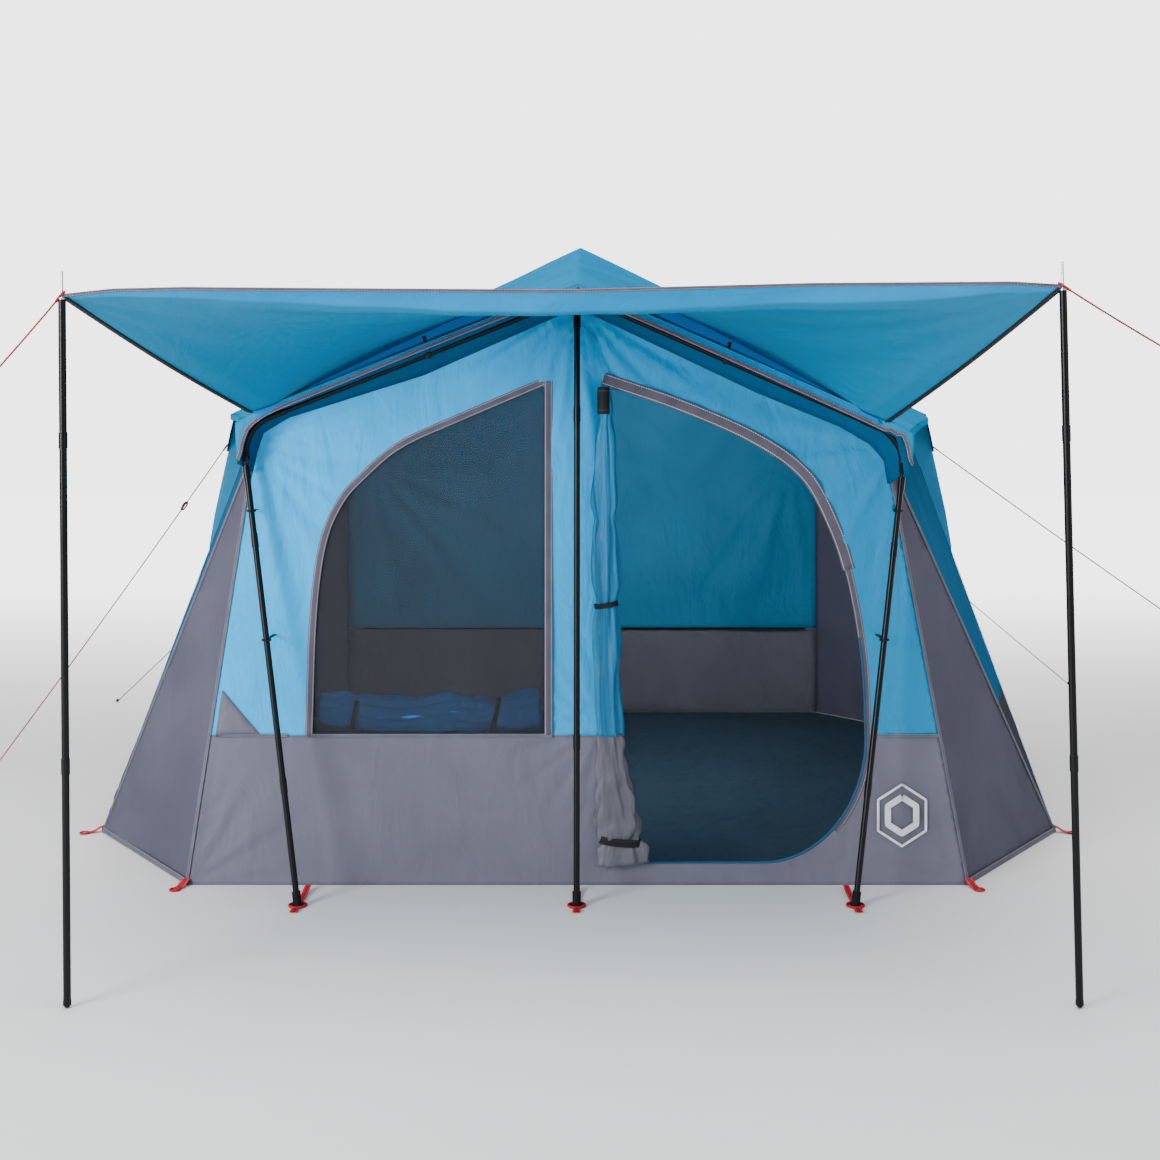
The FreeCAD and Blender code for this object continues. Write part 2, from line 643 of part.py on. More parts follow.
def guyline(route):
    """A taut rope: two long runs joined by the arc of its slight sag."""
    start, corner, end = route
    shorter = min((corner - start).Length, (end - corner).Length)
    turn = (corner - start).getAngle(end - corner)
    setback = SAG_SHARE * shorter
    radius = setback / tan(turn / 2)
    into, out = along(corner, start, setback), along(corner, end, setback)
    inward = ((into - corner) + (out - corner)).normalize()
    middle = corner + inward * ((radius ** 2 + setback ** 2) ** 0.5 - radius)
    path = Part.Wire([
        Part.LineSegment(start, into).toShape(), Part.Arc(into, middle, out).toShape(),
        Part.LineSegment(out, end).toShape(),
    ])
    ring = Part.Wire(Part.Circle(start, into - start, ROPE_R).toShape())
    rope = path.makePipeShell([ring], True, False)
    share = rope.Volume / (pi * ROPE_R ** 2 * path.Length)
    print(f"rope {path.Length:.0f} mm, bend radius {radius:.0f} mm, volume share {share:.3f}")
    return rope


def guyline_runners():
    """The sliding tensioners on two of the ropes."""
    shapes = []
    for name, share in RUNNERS.items():
        start, corner, end = GUYLINES[name]
        at = along(start, corner, share * (end - start).Length)
        half = V(*RUNNER_HALF)
        low, high = along(at, corner, -half.z), along(at, corner, half.z)
        body = placed(box(-half, half), at, high - at, V(0, 1, 0))
        ends = along(low, at, -CUT_MARGIN), along(high, at, -CUT_MARGIN)
        bore = cylinder(*ends, ROPE_R + RUNNER_CLEARANCE)
        shapes.append(body.cut(bore))
    return group(shapes)


# ---- the nodes ----------------------------------------------------------------------------
def nodes():
    """Every node's name and shape."""
    made = {
        "hub_body": hub_body(), "hub_cap": hub_cap(), "fly": fly(), "awning": awning(),
        "inner_roof": inner_roof(), "front_wall": front_wall(), "back_wall": back_wall(),
        "corner_panels": corner_panels(), "floor": floor(), "window_mesh": window_mesh(),
        "window_flap": window_flap(), "door_roll": door_roll(), "peg_loops": peg_loops(),
        "peg_eyelets": peg_eyelets(), "guyline_runners": guyline_runners(),
    }
    for side, end in ((-1, "front"), (1, "rear")):
        hinge, outer = ridge_ends(side)
        made[f"{end}_ridge_arm"] = arm(hinge, outer, V(1, 0, 0))
        made[f"{end}_tee"] = tee(side)
        for hand, name in ((-1, "left"), (1, "right")):
            made[f"{end}_{name}_gable_arm"] = gable_arm(hand, side)
            made[f"{end}_{name}_elbow"] = corner_elbow(hand, side)
    for hand, name in ((-1, "left"), (1, "right")):
        made[f"{name}_side_wall"] = side_wall(hand)
        made[f"mid_{name}_arm"] = mid_arm(hand)
        made[f"mid_{name}_elbow"] = mid_elbow(hand)
        made[f"awning_pole_{name}"] = awning_pole(hand)
        made[f"awning_spike_{name}"] = awning_spike(hand)
    for name, (hinge, foot, axis) in leg_lines().items():
        made[f"{name}_leg"] = leg(hinge, foot, axis)
        made[f"{name}_foot"] = foot_cap(hinge, foot)
    for name, route in GUYLINES.items():
        made[name] = guyline(route)
    return made


def main():
    """Write one STEP file per node."""
    os.makedirs("parts", exist_ok=True)
    for name, shape in nodes().items():
        for solid in shape.Solids:
            if not solid.isValid():
                print(f"{name}: invalid solid")
        shape.exportStep(f"parts/{name}.step")
        print(f"{name}: {len(shape.Solids)} solids, {shape.Volume / 1e3:.1f} cm3")


main()
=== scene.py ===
import bpy
import math

import numpy as np
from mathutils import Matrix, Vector, geometry


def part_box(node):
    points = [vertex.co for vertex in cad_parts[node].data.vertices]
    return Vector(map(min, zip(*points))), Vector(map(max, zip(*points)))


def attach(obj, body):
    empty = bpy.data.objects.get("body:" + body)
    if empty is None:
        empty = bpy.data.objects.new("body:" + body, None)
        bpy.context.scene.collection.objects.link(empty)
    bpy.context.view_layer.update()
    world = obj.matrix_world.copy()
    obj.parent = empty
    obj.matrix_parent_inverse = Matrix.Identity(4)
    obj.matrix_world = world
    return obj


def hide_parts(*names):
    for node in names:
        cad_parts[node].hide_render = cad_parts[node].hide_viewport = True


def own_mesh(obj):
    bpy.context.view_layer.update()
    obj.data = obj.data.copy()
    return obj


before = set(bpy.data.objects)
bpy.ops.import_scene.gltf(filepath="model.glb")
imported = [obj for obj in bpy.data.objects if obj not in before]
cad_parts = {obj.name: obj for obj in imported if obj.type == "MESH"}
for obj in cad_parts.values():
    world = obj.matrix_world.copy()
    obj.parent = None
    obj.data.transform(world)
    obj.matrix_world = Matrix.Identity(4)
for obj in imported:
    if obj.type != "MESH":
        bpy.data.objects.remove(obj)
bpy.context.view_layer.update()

# ---- sizes in metres ----------------------------------------------------------------------
# The cabin's corners repeat the design's own plan; the rest is worked out from the frame.
WALL_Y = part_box("front_wall")[0][1]          # outer face of the front wall, negative
BACK_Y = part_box("back_wall")[1][1]
FRONT_HEM, REAR_HEM = 1.250, 1.225           # half widths of the front and back hems
SIDE_X, SIDE_Y = 1.730, 0.863                # the side corners
# The front wall's corners under the left (-1) and right (1) elbows.
FRONT_TOP = {-1: (1.036, 1.391), 1: (0.992, 1.370)}
ROUND = {-1: (1.014, 1.458), 1: (0.948, 1.421)}
SHOULDER = {-1: (0.935, 1.506), 1: (0.852, 1.478)}
GABLE_MID = {-1: (0.503, 1.642), 1: (0.585, 1.587)}      # where the top edge sags
ELBOW = {-1: (1.050, 1.465, 1.360), 1: (1.030, 1.430, 1.325)}    # x, bend and leg hinge
GABLE_HINGE = (0.040, 1.866)
REAR_SHOULDER = (1.000, 1.470)
REAR_TOP, MID_TOP = (1.225, 1.335), (1.400, 1.400)
WALL_APEX_Z, CEILING_Z = 1.864, 2.070
SKIRT_Z, BACK_SKIRT_Z, SIDE_SKIRT_Z = 0.478, 0.440, 0.485
PEAK_Z = 2.236
GABLE_Y, GABLE_APEX_Z = 1.590, 1.912         # the fly's front edge
FLY_CORNER, FLY_MID = (1.078, 1.482), (1.440, 1.535)
HOOD_Z, MID_HOOD_Z = 1.359, 1.376
AWNING_LEFT, AWNING_RIGHT = (-1.281, -2.520, 1.784), (1.226, -2.520, 1.808)
AWNING_BACK_LEFT, AWNING_BACK_RIGHT = (-1.022, -1.602, 1.510), (0.972, -1.602, 1.480)
AWNING_SEAM = (                              # distance from the middle, y, z: on the fly
    (0.00, -1.420, 1.924), (0.15, -1.420, 1.893), (0.30, -1.425, 1.858), (0.435, -1.430, 1.800),
    (0.60, -1.455, 1.722), (0.80, -1.530, 1.620), (0.96, -1.595, 1.532), (1.03, -1.602, 1.508),
)
CLOTH_THICK = 0.0012


# ---- camera -------------------------------------------------------------------------------
def make_camera():
    """A level camera in front of the door, with the frame shifted instead of tilted."""
    camera = bpy.data.objects.new("camera", bpy.data.cameras.new("camera"))
    camera.location = (0.043, -6.2, 1.42)
    camera.rotation_euler = (math.pi / 2, 0, 0)
    camera.data.sensor_width = 36
    camera.data.lens = 45.6
    camera.data.shift_x, camera.data.shift_y = -0.0092, -0.1198
    bpy.context.scene.collection.objects.link(camera)
    bpy.context.scene.camera = camera


make_camera()


# ---- materials ----------------------------------------------------------------------------
def srgb(r, g, b):
    """A colour from 0-255 display values."""
    def linear(c):
        c /= 255
        return c / 12.92 if c <= 0.04045 else ((c + 0.055) / 1.055) ** 2.4
    return linear(r), linear(g), linear(b), 1.0


class Nodes:
    """A short way to build one material's node tree."""

    def __init__(self, name):
        self.material = bpy.data.materials.new(name)
        self.material.use_nodes = True
        self.tree = self.material.node_tree
        self.shader = self.tree.nodes["Principled BSDF"]

    def add(self, kind, **values):
        node = self.tree.nodes.new(kind)
        for key, value in values.items():
            if hasattr(node, key):
                setattr(node, key, value)
            else:
                node.inputs[key.replace("_", " ")].default_value = value
        return node

    def link(self, out_socket, in_socket):
        self.tree.links.new(out_socket, in_socket)

    def math(self, operation, a, b):
        """A maths node; a and b are sockets or numbers."""
        node = self.add("ShaderNodeMath")
        node.operation = operation
        for socket, value in zip(node.inputs, (a, b)):
            if isinstance(value, (int, float)):
                socket.default_value = value
            else:
                self.link(value, socket)
        return node.outputs["Value"]

    def turned(self, where, tint, light_shade_colour, way, span, bend):
        """A colour that turns into another one along a direction, to paint light and shade across
        a surface.
        """
        split = self.add("ShaderNodeSeparateXYZ")
        self.link(where, split.inputs["Vector"])
        x = split.outputs["X"]
        total = self.math("MULTIPLY", self.math("MULTIPLY", x, x), bend)
        for axis, weight in zip("XYZ", way):
            total = self.math("ADD", total, self.math("MULTIPLY", split.outputs[axis], weight))
        share = self.add("ShaderNodeMapRange", interpolation_type="SMOOTHSTEP")
        self.link(total, share.inputs["Value"])
        share.inputs["From Min"].default_value = span[0]
        share.inputs["From Max"].default_value = span[1]
        blend = self.add("ShaderNodeMix", data_type="RGBA")
        self.link(share.outputs["Result"], blend.inputs[0])
        self.link(tint, blend.inputs[6])
        blend.inputs[7].default_value = light_shade_colour
        return blend.outputs[2]

    def noise(self, coordinates, scale, detail=3.0, distortion=0.0, stretch=(1, 1, 1)):
        mapping = self.add("ShaderNodeMapping")
        mapping.inputs["Scale"].default_value = stretch
        self.link(coordinates, mapping.inputs["Vector"])
        node = self.add("ShaderNodeTexNoise", Scale=scale, Detail=detail, Distortion=distortion)
        self.link(mapping.outputs["Vector"], node.inputs["Vector"])
        return node.outputs["Fac"]

    def bump(self, height, strength, distance, under=None):
        node = self.add("ShaderNodeBump", Strength=strength, Distance=distance)
        self.link(height, node.inputs["Height"])
        if under is not None:
            self.link(under, node.inputs["Normal"])
        return node.outputs["Normal"]

    def colours(self, factor, first, second, low=0.3, high=0.7):
        ramp = self.add("ShaderNodeValToRGB")
        ramp.color_ramp.elements[0].color, ramp.color_ramp.elements[1].color = first, second
        ramp.color_ramp.elements[0].position = low
        ramp.color_ramp.elements[1].position = high
        self.link(factor, ramp.inputs["Fac"])
        return ramp.outputs["Color"]


def shade(colour, factor):
    """The colour, darker or lighter."""
    return tuple(min(1.0, c * factor) for c in colour[:3]) + (1.0,)


def cloth_material(name, colour, rough=0.5, crinkle=0.35, spread=0.10, gloss=0.12,
                   lean=(1.0, 1.0, 0.45), glow=0.0, light_shade_colour=None, way=(1, 0, 0), span=(0, 1),
                   bend=0.0):
    """Coated polyester: a fine weave, soft crinkles and creases, and uneven colour.

    glow is emission, a painted glow that stands in for the light that comes through from behind.
    The colour turns into a second colour along a way over a span, in metres, as painted light and
    shade; bend curves the boundary toward the sides.
    """
    n = Nodes(name)
    where = n.add("ShaderNodeTexCoord").outputs["Object"]
    patches = n.noise(where, 2.6, 4.0, 0.6)
    tint = n.colours(patches, shade(colour, 1 - spread), shade(colour, 1 + spread))
    # Painted light and shade: the cloth turns into the second colour along a direction, so one
    # part is lighter or darker as light falls on it.
    if light_shade_colour:
        tint = n.turned(where, tint, light_shade_colour, way, span, bend)
    n.link(tint, n.shader.inputs["Base Color"])
    # The emission is a painted glow in the cloth's own colour, standing in for light that comes
    # through from behind.
    n.link(tint, n.shader.inputs["Emission Color"])
    n.shader.inputs["Emission Strength"].default_value = glow
    creases = n.noise(where, 6.5, 3.0, 1.5, lean)
    crinkles = n.noise(where, 24.0, 4.0, 1.0, lean)
    threads = n.add("ShaderNodeTexWave", Scale=420.0, Distortion=0.6, bands_direction="DIAGONAL")
    n.link(where, threads.inputs["Vector"])
    normal = n.bump(creases, crinkle, 0.030)
    normal = n.bump(crinkles, crinkle, 0.006, normal)
    normal = n.bump(threads.outputs["Fac"], 0.25, 0.0003, normal)
    n.link(normal, n.shader.inputs["Normal"])
    roughness = n.add("ShaderNodeMapRange")
    roughness.inputs["To Min"].default_value = rough - 0.05
    roughness.inputs["To Max"].default_value = rough + 0.10
    n.link(crinkles, roughness.inputs["Value"])
    n.link(roughness.outputs["Result"], n.shader.inputs["Roughness"])
    n.shader.inputs["Specular IOR Level"].default_value = gloss
    return n.material


def tape_material(name, colour, stitch=None, rough=0.7):
    """Woven tape: ribs across it, and a row of stitches near each edge, along the ribbon's UVs."""
    n = Nodes(name)
    coords = n.add("ShaderNodeTexCoord")
    split = n.add("ShaderNodeSeparateXYZ")
    n.link(coords.outputs["UV"], split.inputs["Vector"])
    ribs = n.add("ShaderNodeTexWave", Scale=180.0, bands_direction="X")
    n.link(coords.outputs["UV"], ribs.inputs["Vector"])
    wear = n.noise(coords.outputs["Object"], 18.0, 3.0)
    base = n.colours(wear, shade(colour, 0.82), shade(colour, 1.12))
    if stitch:
        centred = n.add("ShaderNodeMath", operation="ABSOLUTE")
        n.link(split.outputs["Y"], centred.inputs[0])
        row = n.add("ShaderNodeMath", operation="COMPARE")
        row.inputs[1].default_value, row.inputs[2].default_value = 0.72, 0.05
        n.link(centred.outputs[0], row.inputs[0])
        along = n.add("ShaderNodeMath", operation="PINGPONG")
        along.inputs[1].default_value = 0.004
        n.link(split.outputs["X"], along.inputs[0])
        dash = n.add("ShaderNodeMath", operation="GREATER_THAN")
        dash.inputs[1].default_value = 0.0014
        n.link(along.outputs[0], dash.inputs[0])
        both = n.add("ShaderNodeMath", operation="MULTIPLY")
        n.link(row.outputs[0], both.inputs[0])
        n.link(dash.outputs[0], both.inputs[1])
        mix = n.add("ShaderNodeMix", data_type="RGBA")
        n.link(both.outputs[0], mix.inputs[0])
        n.link(base, mix.inputs[6])
        mix.inputs[7].default_value = stitch
        base = mix.outputs[2]
    n.link(base, n.shader.inputs["Base Color"])
    normal = n.bump(ribs.outputs["Fac"], 0.35, 0.0006)
    n.link(n.bump(wear, 0.3, 0.003, normal), n.shader.inputs["Normal"])
    n.shader.inputs["Roughness"].default_value = rough
    n.shader.inputs["Specular IOR Level"].default_value = 0.3
    return n.material


def solid_material(name, colour, rough=0.4, metallic=0.0, grain=60.0, bump=0.15):
    """Paint, moulded plastic, rubber or steel, with a fine grain and uneven wear."""
    n = Nodes(name)
    where = n.add("ShaderNodeTexCoord").outputs["Object"]
    wear = n.noise(where, 9.0, 6.0, 0.4, (1, 1, 0.2))
    n.link(n.colours(wear, shade(colour, 0.75), shade(colour, 1.35)),
           n.shader.inputs["Base Color"])
    fine = n.noise(where, grain, 2.0)
    n.link(n.bump(fine, bump, 0.0008), n.shader.inputs["Normal"])
    spread = n.add("ShaderNodeMapRange")
    spread.inputs["To Min"].default_value = max(0.05, rough - 0.1)
    spread.inputs["To Max"].default_value = rough + 0.12
    n.link(wear, spread.inputs["Value"])
    n.link(spread.outputs["Result"], n.shader.inputs["Roughness"])
    n.shader.inputs["Metallic"].default_value = metallic
    n.shader.inputs["Specular IOR Level"].default_value = 0.5 if metallic else 0.2
    return n.material


def net_material(name, colour, opacity):
    """Insect net: dark threads that let the cabin show through."""
    n = Nodes(name)
    where = n.add("ShaderNodeTexCoord").outputs["Object"]
    tint = n.noise(where, 3.0, 3.0)
    n.link(n.colours(tint, shade(colour, 0.8), shade(colour, 1.2)), n.shader.inputs["Base Color"])
    n.shader.inputs["Alpha"].default_value = opacity
    n.shader.inputs["Roughness"].default_value = 0.8
    return n.material


def rope_material(name, colour, fleck):
    """Braided cord: slanting strands with a fleck of another colour."""
    n = Nodes(name)
    uv = n.add("ShaderNodeTexCoord").outputs["UV"]
    strands = n.add("ShaderNodeTexWave", Scale=60.0, bands_direction="DIAGONAL")
    n.link(uv, strands.inputs["Vector"])
    n.link(n.colours(strands.outputs["Fac"], colour, fleck, 0.55, 0.8),
           n.shader.inputs["Base Color"])
    n.link(n.bump(strands.outputs["Fac"], 0.6, 0.0008), n.shader.inputs["Normal"])
    n.shader.inputs["Roughness"].default_value = 0.75
    return n.material


def make_materials():
    """Every finish, by name."""
    white_thread = srgb(200, 200, 205)
    return {
        "fly": cloth_material("fly_blue", (0.007, 0.210, 0.430, 1), 0.6, 0.60, gloss=0.0),
        # Painted light: the awning's front strip is a lighter blue than the rest, standing in for
        # the light on its front-facing fold.
        "awning": cloth_material("awning_blue_painted_light", (0.004, 0.290, 0.640, 1), 0.5, 0.16,
                                 light_shade_colour=(0.006, 0.200, 0.385, 1), way=(0, 1, 0),
                                 span=(-2.395, -2.375), bend=0.075),
        # Painted shade and glow: the band under the awning's seam is a deep blue for the shade it
        # lies in, with emission standing in for light through the fly.
        "band": cloth_material("gable_band_painted_shade_glow", (0.001, 0.100, 0.300, 1), 0.5, 0.3, glow=0.8),
        # Painted shade: the lining is a dark blue that stands in for the shadow between the gable
        # arms and the wall tops.
        "lining": cloth_material("lining_painted_shade", (0.003, 0.075, 0.170, 1), 0.6, 0.3, gloss=0.0),
        # Painted shade: the front wall turns a darker blue toward its right side, standing in for
        # the shade there.
        "wall": cloth_material("wall_blue_painted_shade", (0.008, 0.425, 0.870, 1), 0.5, 0.50,
                               light_shade_colour=(0.006, 0.232, 0.480, 1), span=(-0.7, 0.7)),
        # Painted shade: the side walls' blue is a darker copy of the front wall's cloth, standing
        # in for their shade.
        "side": cloth_material("side_blue_painted_shade", (0.018, 0.105, 0.215, 1), 0.6, 0.30, gloss=0.0),
        # Painted glow: the gusset's emission stands in for light, brightening it in the hood's
        # shade.
        "gusset": cloth_material("gusset_blue_painted_glow", (0.020, 0.160, 0.300, 1), 0.6, 0.30, gloss=0.0,
                                 glow=0.35),
        "inside": cloth_material("inside_blue", (0.026, 0.210, 0.380, 1), 0.55, 0.35),
        "skirt": cloth_material("skirt_grey", (0.135, 0.133, 0.180, 1), 0.48, 0.28),
        "dark": cloth_material("corner_grey", (0.095, 0.095, 0.132, 1), 0.6, 0.30, gloss=0.0),
        # Painted shade: the side skirts' grey is a darker copy of the front skirt's cloth,
        # standing in for their shade.
        "side_grey_painted_shade": cloth_material("side_grey_painted_shade", (0.046, 0.049, 0.067, 1), 0.6, 0.3, gloss=0.0),
        "inside_grey": cloth_material("inside_grey", (0.130, 0.130, 0.158, 1), 0.6, 0.35),
        "floor": cloth_material("groundsheet_slate", (0.038, 0.062, 0.082, 1), 0.45, 0.14,
                                lean=(1, 1, 1)),
        "flap": cloth_material("flap_blue", (0.010, 0.185, 0.540, 1), 0.40, 0.6, gloss=0.3),
        "roll": cloth_material("door_blue", (0.006, 0.160, 0.340, 1), 0.42, 0.6, gloss=0.25),
        "roll_grey": cloth_material("door_grey", (0.115, 0.113, 0.145, 1), 0.42, 0.5, gloss=0.3),
        "net": net_material("insect_net", srgb(34, 38, 44), 0.42),
        "trim": tape_material("trim_mauve", (0.088, 0.078, 0.108, 1), white_thread),
        "piping": tape_material("piping_blue", (0.006, 0.080, 0.180, 1)),
        "black_tape": tape_material("tape_black", srgb(16, 17, 20), srgb(60, 60, 66)),
        "red_tape": tape_material("tape_red", (0.480, 0.004, 0.018, 1), srgb(225, 150, 150)),
        "seam": tape_material("seam_blue", (0.035, 0.290, 0.560, 1), srgb(150, 205, 228)),
        "seam_grey": tape_material("seam_grey", (0.105, 0.107, 0.145, 1), srgb(160, 160, 170)),
        "badge": tape_material("badge_white", srgb(225, 226, 230)),
        "paint": solid_material("tube_paint", srgb(7, 8, 10), 0.30, 0.0, 90.0, 0.1),
        "bracket": solid_material("bracket_paint", srgb(8, 9, 11), 0.36, 0.0, 70.0, 0.2),
        "moulding": solid_material("moulding", srgb(16, 17, 19), 0.5, 0.0, 120.0, 0.35),
        "rubber": solid_material("foot_rubber", srgb(13, 13, 15), 0.75, 0.0, 140.0, 0.4),
        "steel": solid_material("steel", srgb(188, 190, 195), 0.28, 1.0, 160.0, 0.15),
        "rope": rope_material("rope_red", (0.230, 0.006, 0.020, 1), srgb(120, 60, 70)),
        "rope_dark": rope_material("rope_grey", srgb(30, 28, 30), (0.120, 0.012, 0.020, 1)),
    }


MAT = make_materials()


# ---- mesh helpers -------------------------------------------------------------------------
def new_piece(name, verts, faces, material, body="tent", smooth=True, uvs=None):
    """A mesh object that rides on a body."""
    mesh = bpy.data.meshes.new(name)
    mesh.from_pydata([tuple(float(c) for c in v) for v in verts], [], faces)
    mesh.validate()
    mesh.polygons.foreach_set("use_smooth", [smooth] * len(mesh.polygons))
    if uvs is not None:
        layer = mesh.uv_layers.new(name="UVMap")
        index = np.empty(len(mesh.loops), dtype=np.int64)
        mesh.loops.foreach_get("vertex_index", index)
        layer.data.foreach_set("uv", np.asarray(uvs, float)[index].ravel())
    piece = bpy.data.objects.new(name, mesh)
    bpy.context.scene.collection.objects.link(piece)
    mesh.materials.append(material)
    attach(piece, body)
    return piece


def thicken(piece, thickness, offset=-1.0):
    """Give a sheet its thickness."""
    modifier = piece.modifiers.new("thickness", "SOLIDIFY")
    modifier.thickness, modifier.offset = thickness, offset
    return piece


def collapse(piece):
    """Give a soft piece its own copy of its mesh."""
    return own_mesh(piece)


def unit(v):
    v = np.asarray(v, float)
    return v / max(np.linalg.norm(v), 1e-12)


def resample(points, step, closed=False):
    """The polyline with points about this far apart."""
    points = np.asarray(points, float)
    if closed:
        points = np.vstack([points, points[:1]])
    gaps = np.linalg.norm(np.diff(points, axis=0), axis=1)
    at = np.concatenate([[0], np.cumsum(gaps)])
    count = max(2, int(round(at[-1] / step)) + 1)
    wanted = np.linspace(0, at[-1], count)
    wanted = np.unique(np.concatenate([wanted, at[1:-1]])) if len(points) < 12 else wanted
    out = np.column_stack([np.interp(wanted, at, points[:, k]) for k in range(points.shape[1])])
    return out[:-1] if closed else out


def smooth_line(points, step=0.01):
    """A smooth curve through the points (Catmull-Rom)."""
    p = np.asarray(points, float)
    ends = np.vstack([2 * p[0] - p[1], p, 2 * p[-1] - p[-2]])
    out = []
    for i in range(1, len(ends) - 2):
        a, b, c, d = ends[i - 1:i + 3]
        t = np.linspace(0, 1, 12, endpoint=False)[:, None]
        out.append(0.5 * (2 * b + (c - a) * t + (2 * a - 5 * b + 4 * c - d) * t ** 2
                          + (3 * b - a - 3 * c + d) * t ** 3))
    return resample(np.vstack(out + [p[-1:]]), step)


def inside(points, loop):
    """Which points lie inside a closed loop."""
    x, y = points[:, 0], points[:, 1]
    result = np.zeros(len(points), bool)
    for (x1, y1), (x2, y2) in zip(loop, np.roll(loop, -1, axis=0)):
        if y1 == y2:
            continue
        crosses = (y1 > y) != (y2 > y)
        result ^= crosses & (x < (x2 - x1) * (y - y1) / (y2 - y1) + x1)
    return result


def distance_to(points, lines):
    """Each point's distance to the nearest of several polylines."""
    best = np.full(len(points), 1e9)
    for line in lines:
        line = np.asarray(line, float)
        for a, b in zip(line[:-1], line[1:]):
            edge = b - a
            length = max(edge @ edge, 1e-12)
            t = np.clip((points - a) @ edge / length, 0, 1)[:, None]
            best = np.minimum(best, np.linalg.norm(points - a - t * edge, axis=1))
    return best


def closed(loop):
    loop = np.asarray(loop, float)
    return np.vstack([loop, loop[:1]])


def soft_folds(points, seed, size, stretch=(1.0, 1.0, 0.5)):
    """Rolling folds, from -1 to 1, by place: warped sines with seeded phases."""
    draw = np.random.default_rng(seed)
    p = points * np.asarray(stretch) / size
    warp = sum(np.sin(p @ draw.normal(0, 0.7, 3) + draw.uniform(0, 6.3)) for _ in range(3))
    value = 0
    for _ in range(6):
        value = value + np.sin(p @ draw.normal(0, 1.7, 3) + warp * 0.9 + draw.uniform(0, 6.3))
    return np.clip(value / 3.0, -1, 1)


def rays(points, anchor, reach, count, seed=0, height=1.0):
    """Folds that fan out from a point where the cloth is pulled."""
    draw = np.random.default_rng(seed)
    away = points - np.asarray(anchor)
    flat = away[:, [0, 2]] if np.ptp(points[:, 1]) < np.ptp(points[:, 0]) else away[:, [1, 2]]
    angle = np.arctan2(flat[:, 1], flat[:, 0])
    r = np.linalg.norm(away, axis=1)
    wave = np.sin(count * angle + draw.uniform(0, 6) + 0.8 * np.sin(r * 9))
    wave = wave + 0.5 * np.sin(count * 1.9 * angle + draw.uniform(0, 6))
    return height * wave * np.exp(-(r / reach) ** 2) * np.clip(r / 0.06, 0, 1)


def puckers(points, a, b, spacing, reach, height, slant=0.6, seed=0):
    """Short folds that run off a seam from a to b, and die out within reach of it."""
    a, b = np.asarray(a, float), np.asarray(b, float)
    way = unit(b - a)
    along = (points - a) @ way
    away = np.linalg.norm(points - a - along[:, None] * way, axis=1)
    draw = np.random.default_rng(seed)
    wobble = sum(np.sin(along * draw.uniform(4, 22) + draw.uniform(0, 6)) for _ in range(3))
    phase = 2 * math.pi * (along + slant * away) / spacing + 1.6 * wobble
    strength = 0.5 + 0.5 * np.sin(along * 7 + wobble)
    ends = np.clip(along / 0.05, 0, 1) * np.clip((np.linalg.norm(b - a) - along) / 0.05, 0, 1)
    return height * np.sin(phase) * strength * np.exp(-away / reach) * ends


def flat_sheet(outline, outward, holes=(), spacing=0.022, relief=None, pinned=None):
    """Vertices and triangles of a flat cut of cloth, with folds pressed into it.

    outline is a loop of points in space on one plane. relief gives how far each vertex stands
    proud; it fades out at the pinned lines, which are the outline and holes unless given.
    """
    outline = np.asarray(outline, float)
    normal = unit(outward)
    raw = np.array([0.0, 0.0, 1.0]) if abs(normal[2]) < 0.9 else np.array([0.0, 1.0, 0.0])
    v = unit(raw - normal * (raw @ normal))
    u = np.cross(v, normal)
    origin = outline[0]
    plan = lambda pts: np.column_stack([(pts - origin) @ u, (pts - origin) @ v])
    rim = resample(plan(outline), spacing, closed=True)
    cuts = [resample(plan(np.asarray(h, float)), spacing, closed=True) for h in holes]
    low, high = rim.min(0), rim.max(0)
    rows = np.arange(low[1], high[1], spacing * 0.87)
    cols = np.arange(low[0], high[0], spacing)
    inner = np.array([(x + (i % 2) * spacing / 2, y) for i, y in enumerate(rows) for x in cols])
    keep = inside(inner, rim) & (distance_to(inner, [closed(rim)]) > spacing * 0.55)
    for cut in cuts:
        keep &= ~inside(inner, cut) & (distance_to(inner, [closed(cut)]) > spacing * 0.55)
    inner = inner[keep]
    edges = []
    start = 0
    for loop in [rim] + cuts:
        edges += [(start + i, start + (i + 1) % len(loop)) for i in range(len(loop))]
        start += len(loop)
    flat = np.vstack([rim] + cuts + [inner])
    done = geometry.delaunay_2d_cdt([Vector(p) for p in flat], edges, [], 1, 1e-7)
    flat = np.array([tuple(p) for p in done[0]])
    faces = [tuple(f) for f in done[2]]
    middles = np.array([flat[list(f)].mean(0) for f in faces])
    good = inside(middles, rim)
    for cut in cuts:
        good &= ~inside(middles, cut)
    faces = [f for f, g in zip(faces, good) if g]
    space = origin + flat[:, :1] * u + flat[:, 1:] * v
    if relief is not None:
        lines = [closed(rim)] + [closed(c) for c in cuts]
        if pinned is not None:
            lines = [plan(np.asarray(line, float)) for line in pinned]
        fade = np.clip(distance_to(flat, lines) / 0.035, 0, 1)
        space = space + normal * (relief(space) * fade * fade * (3 - 2 * fade))[:, None]
    a, b, c = (space[list(faces[0])][k] for k in range(3))
    if np.cross(b - a, c - a) @ normal < 0:
        faces = [f[::-1] for f in faces]
    return space, faces


def merged(parts):
    """Several (verts, faces) as one."""
    verts, faces, start = [], [], 0
    for v, f in parts:
        verts.append(v)
        faces += [tuple(i + start for i in face) for face in f]
        start += len(v)
    return np.vstack(verts), faces


def grid_faces(rows, cols, wrap=False):
    """Quads over a grid of rows x cols vertices."""
    faces = []
    for i in range(rows - 1):
        for j in range(cols if wrap else cols - 1):
            k = (j + 1) % cols
            faces.append((i * cols + j, i * cols + k, (i + 1) * cols + k, (i + 1) * cols + j))
    return faces


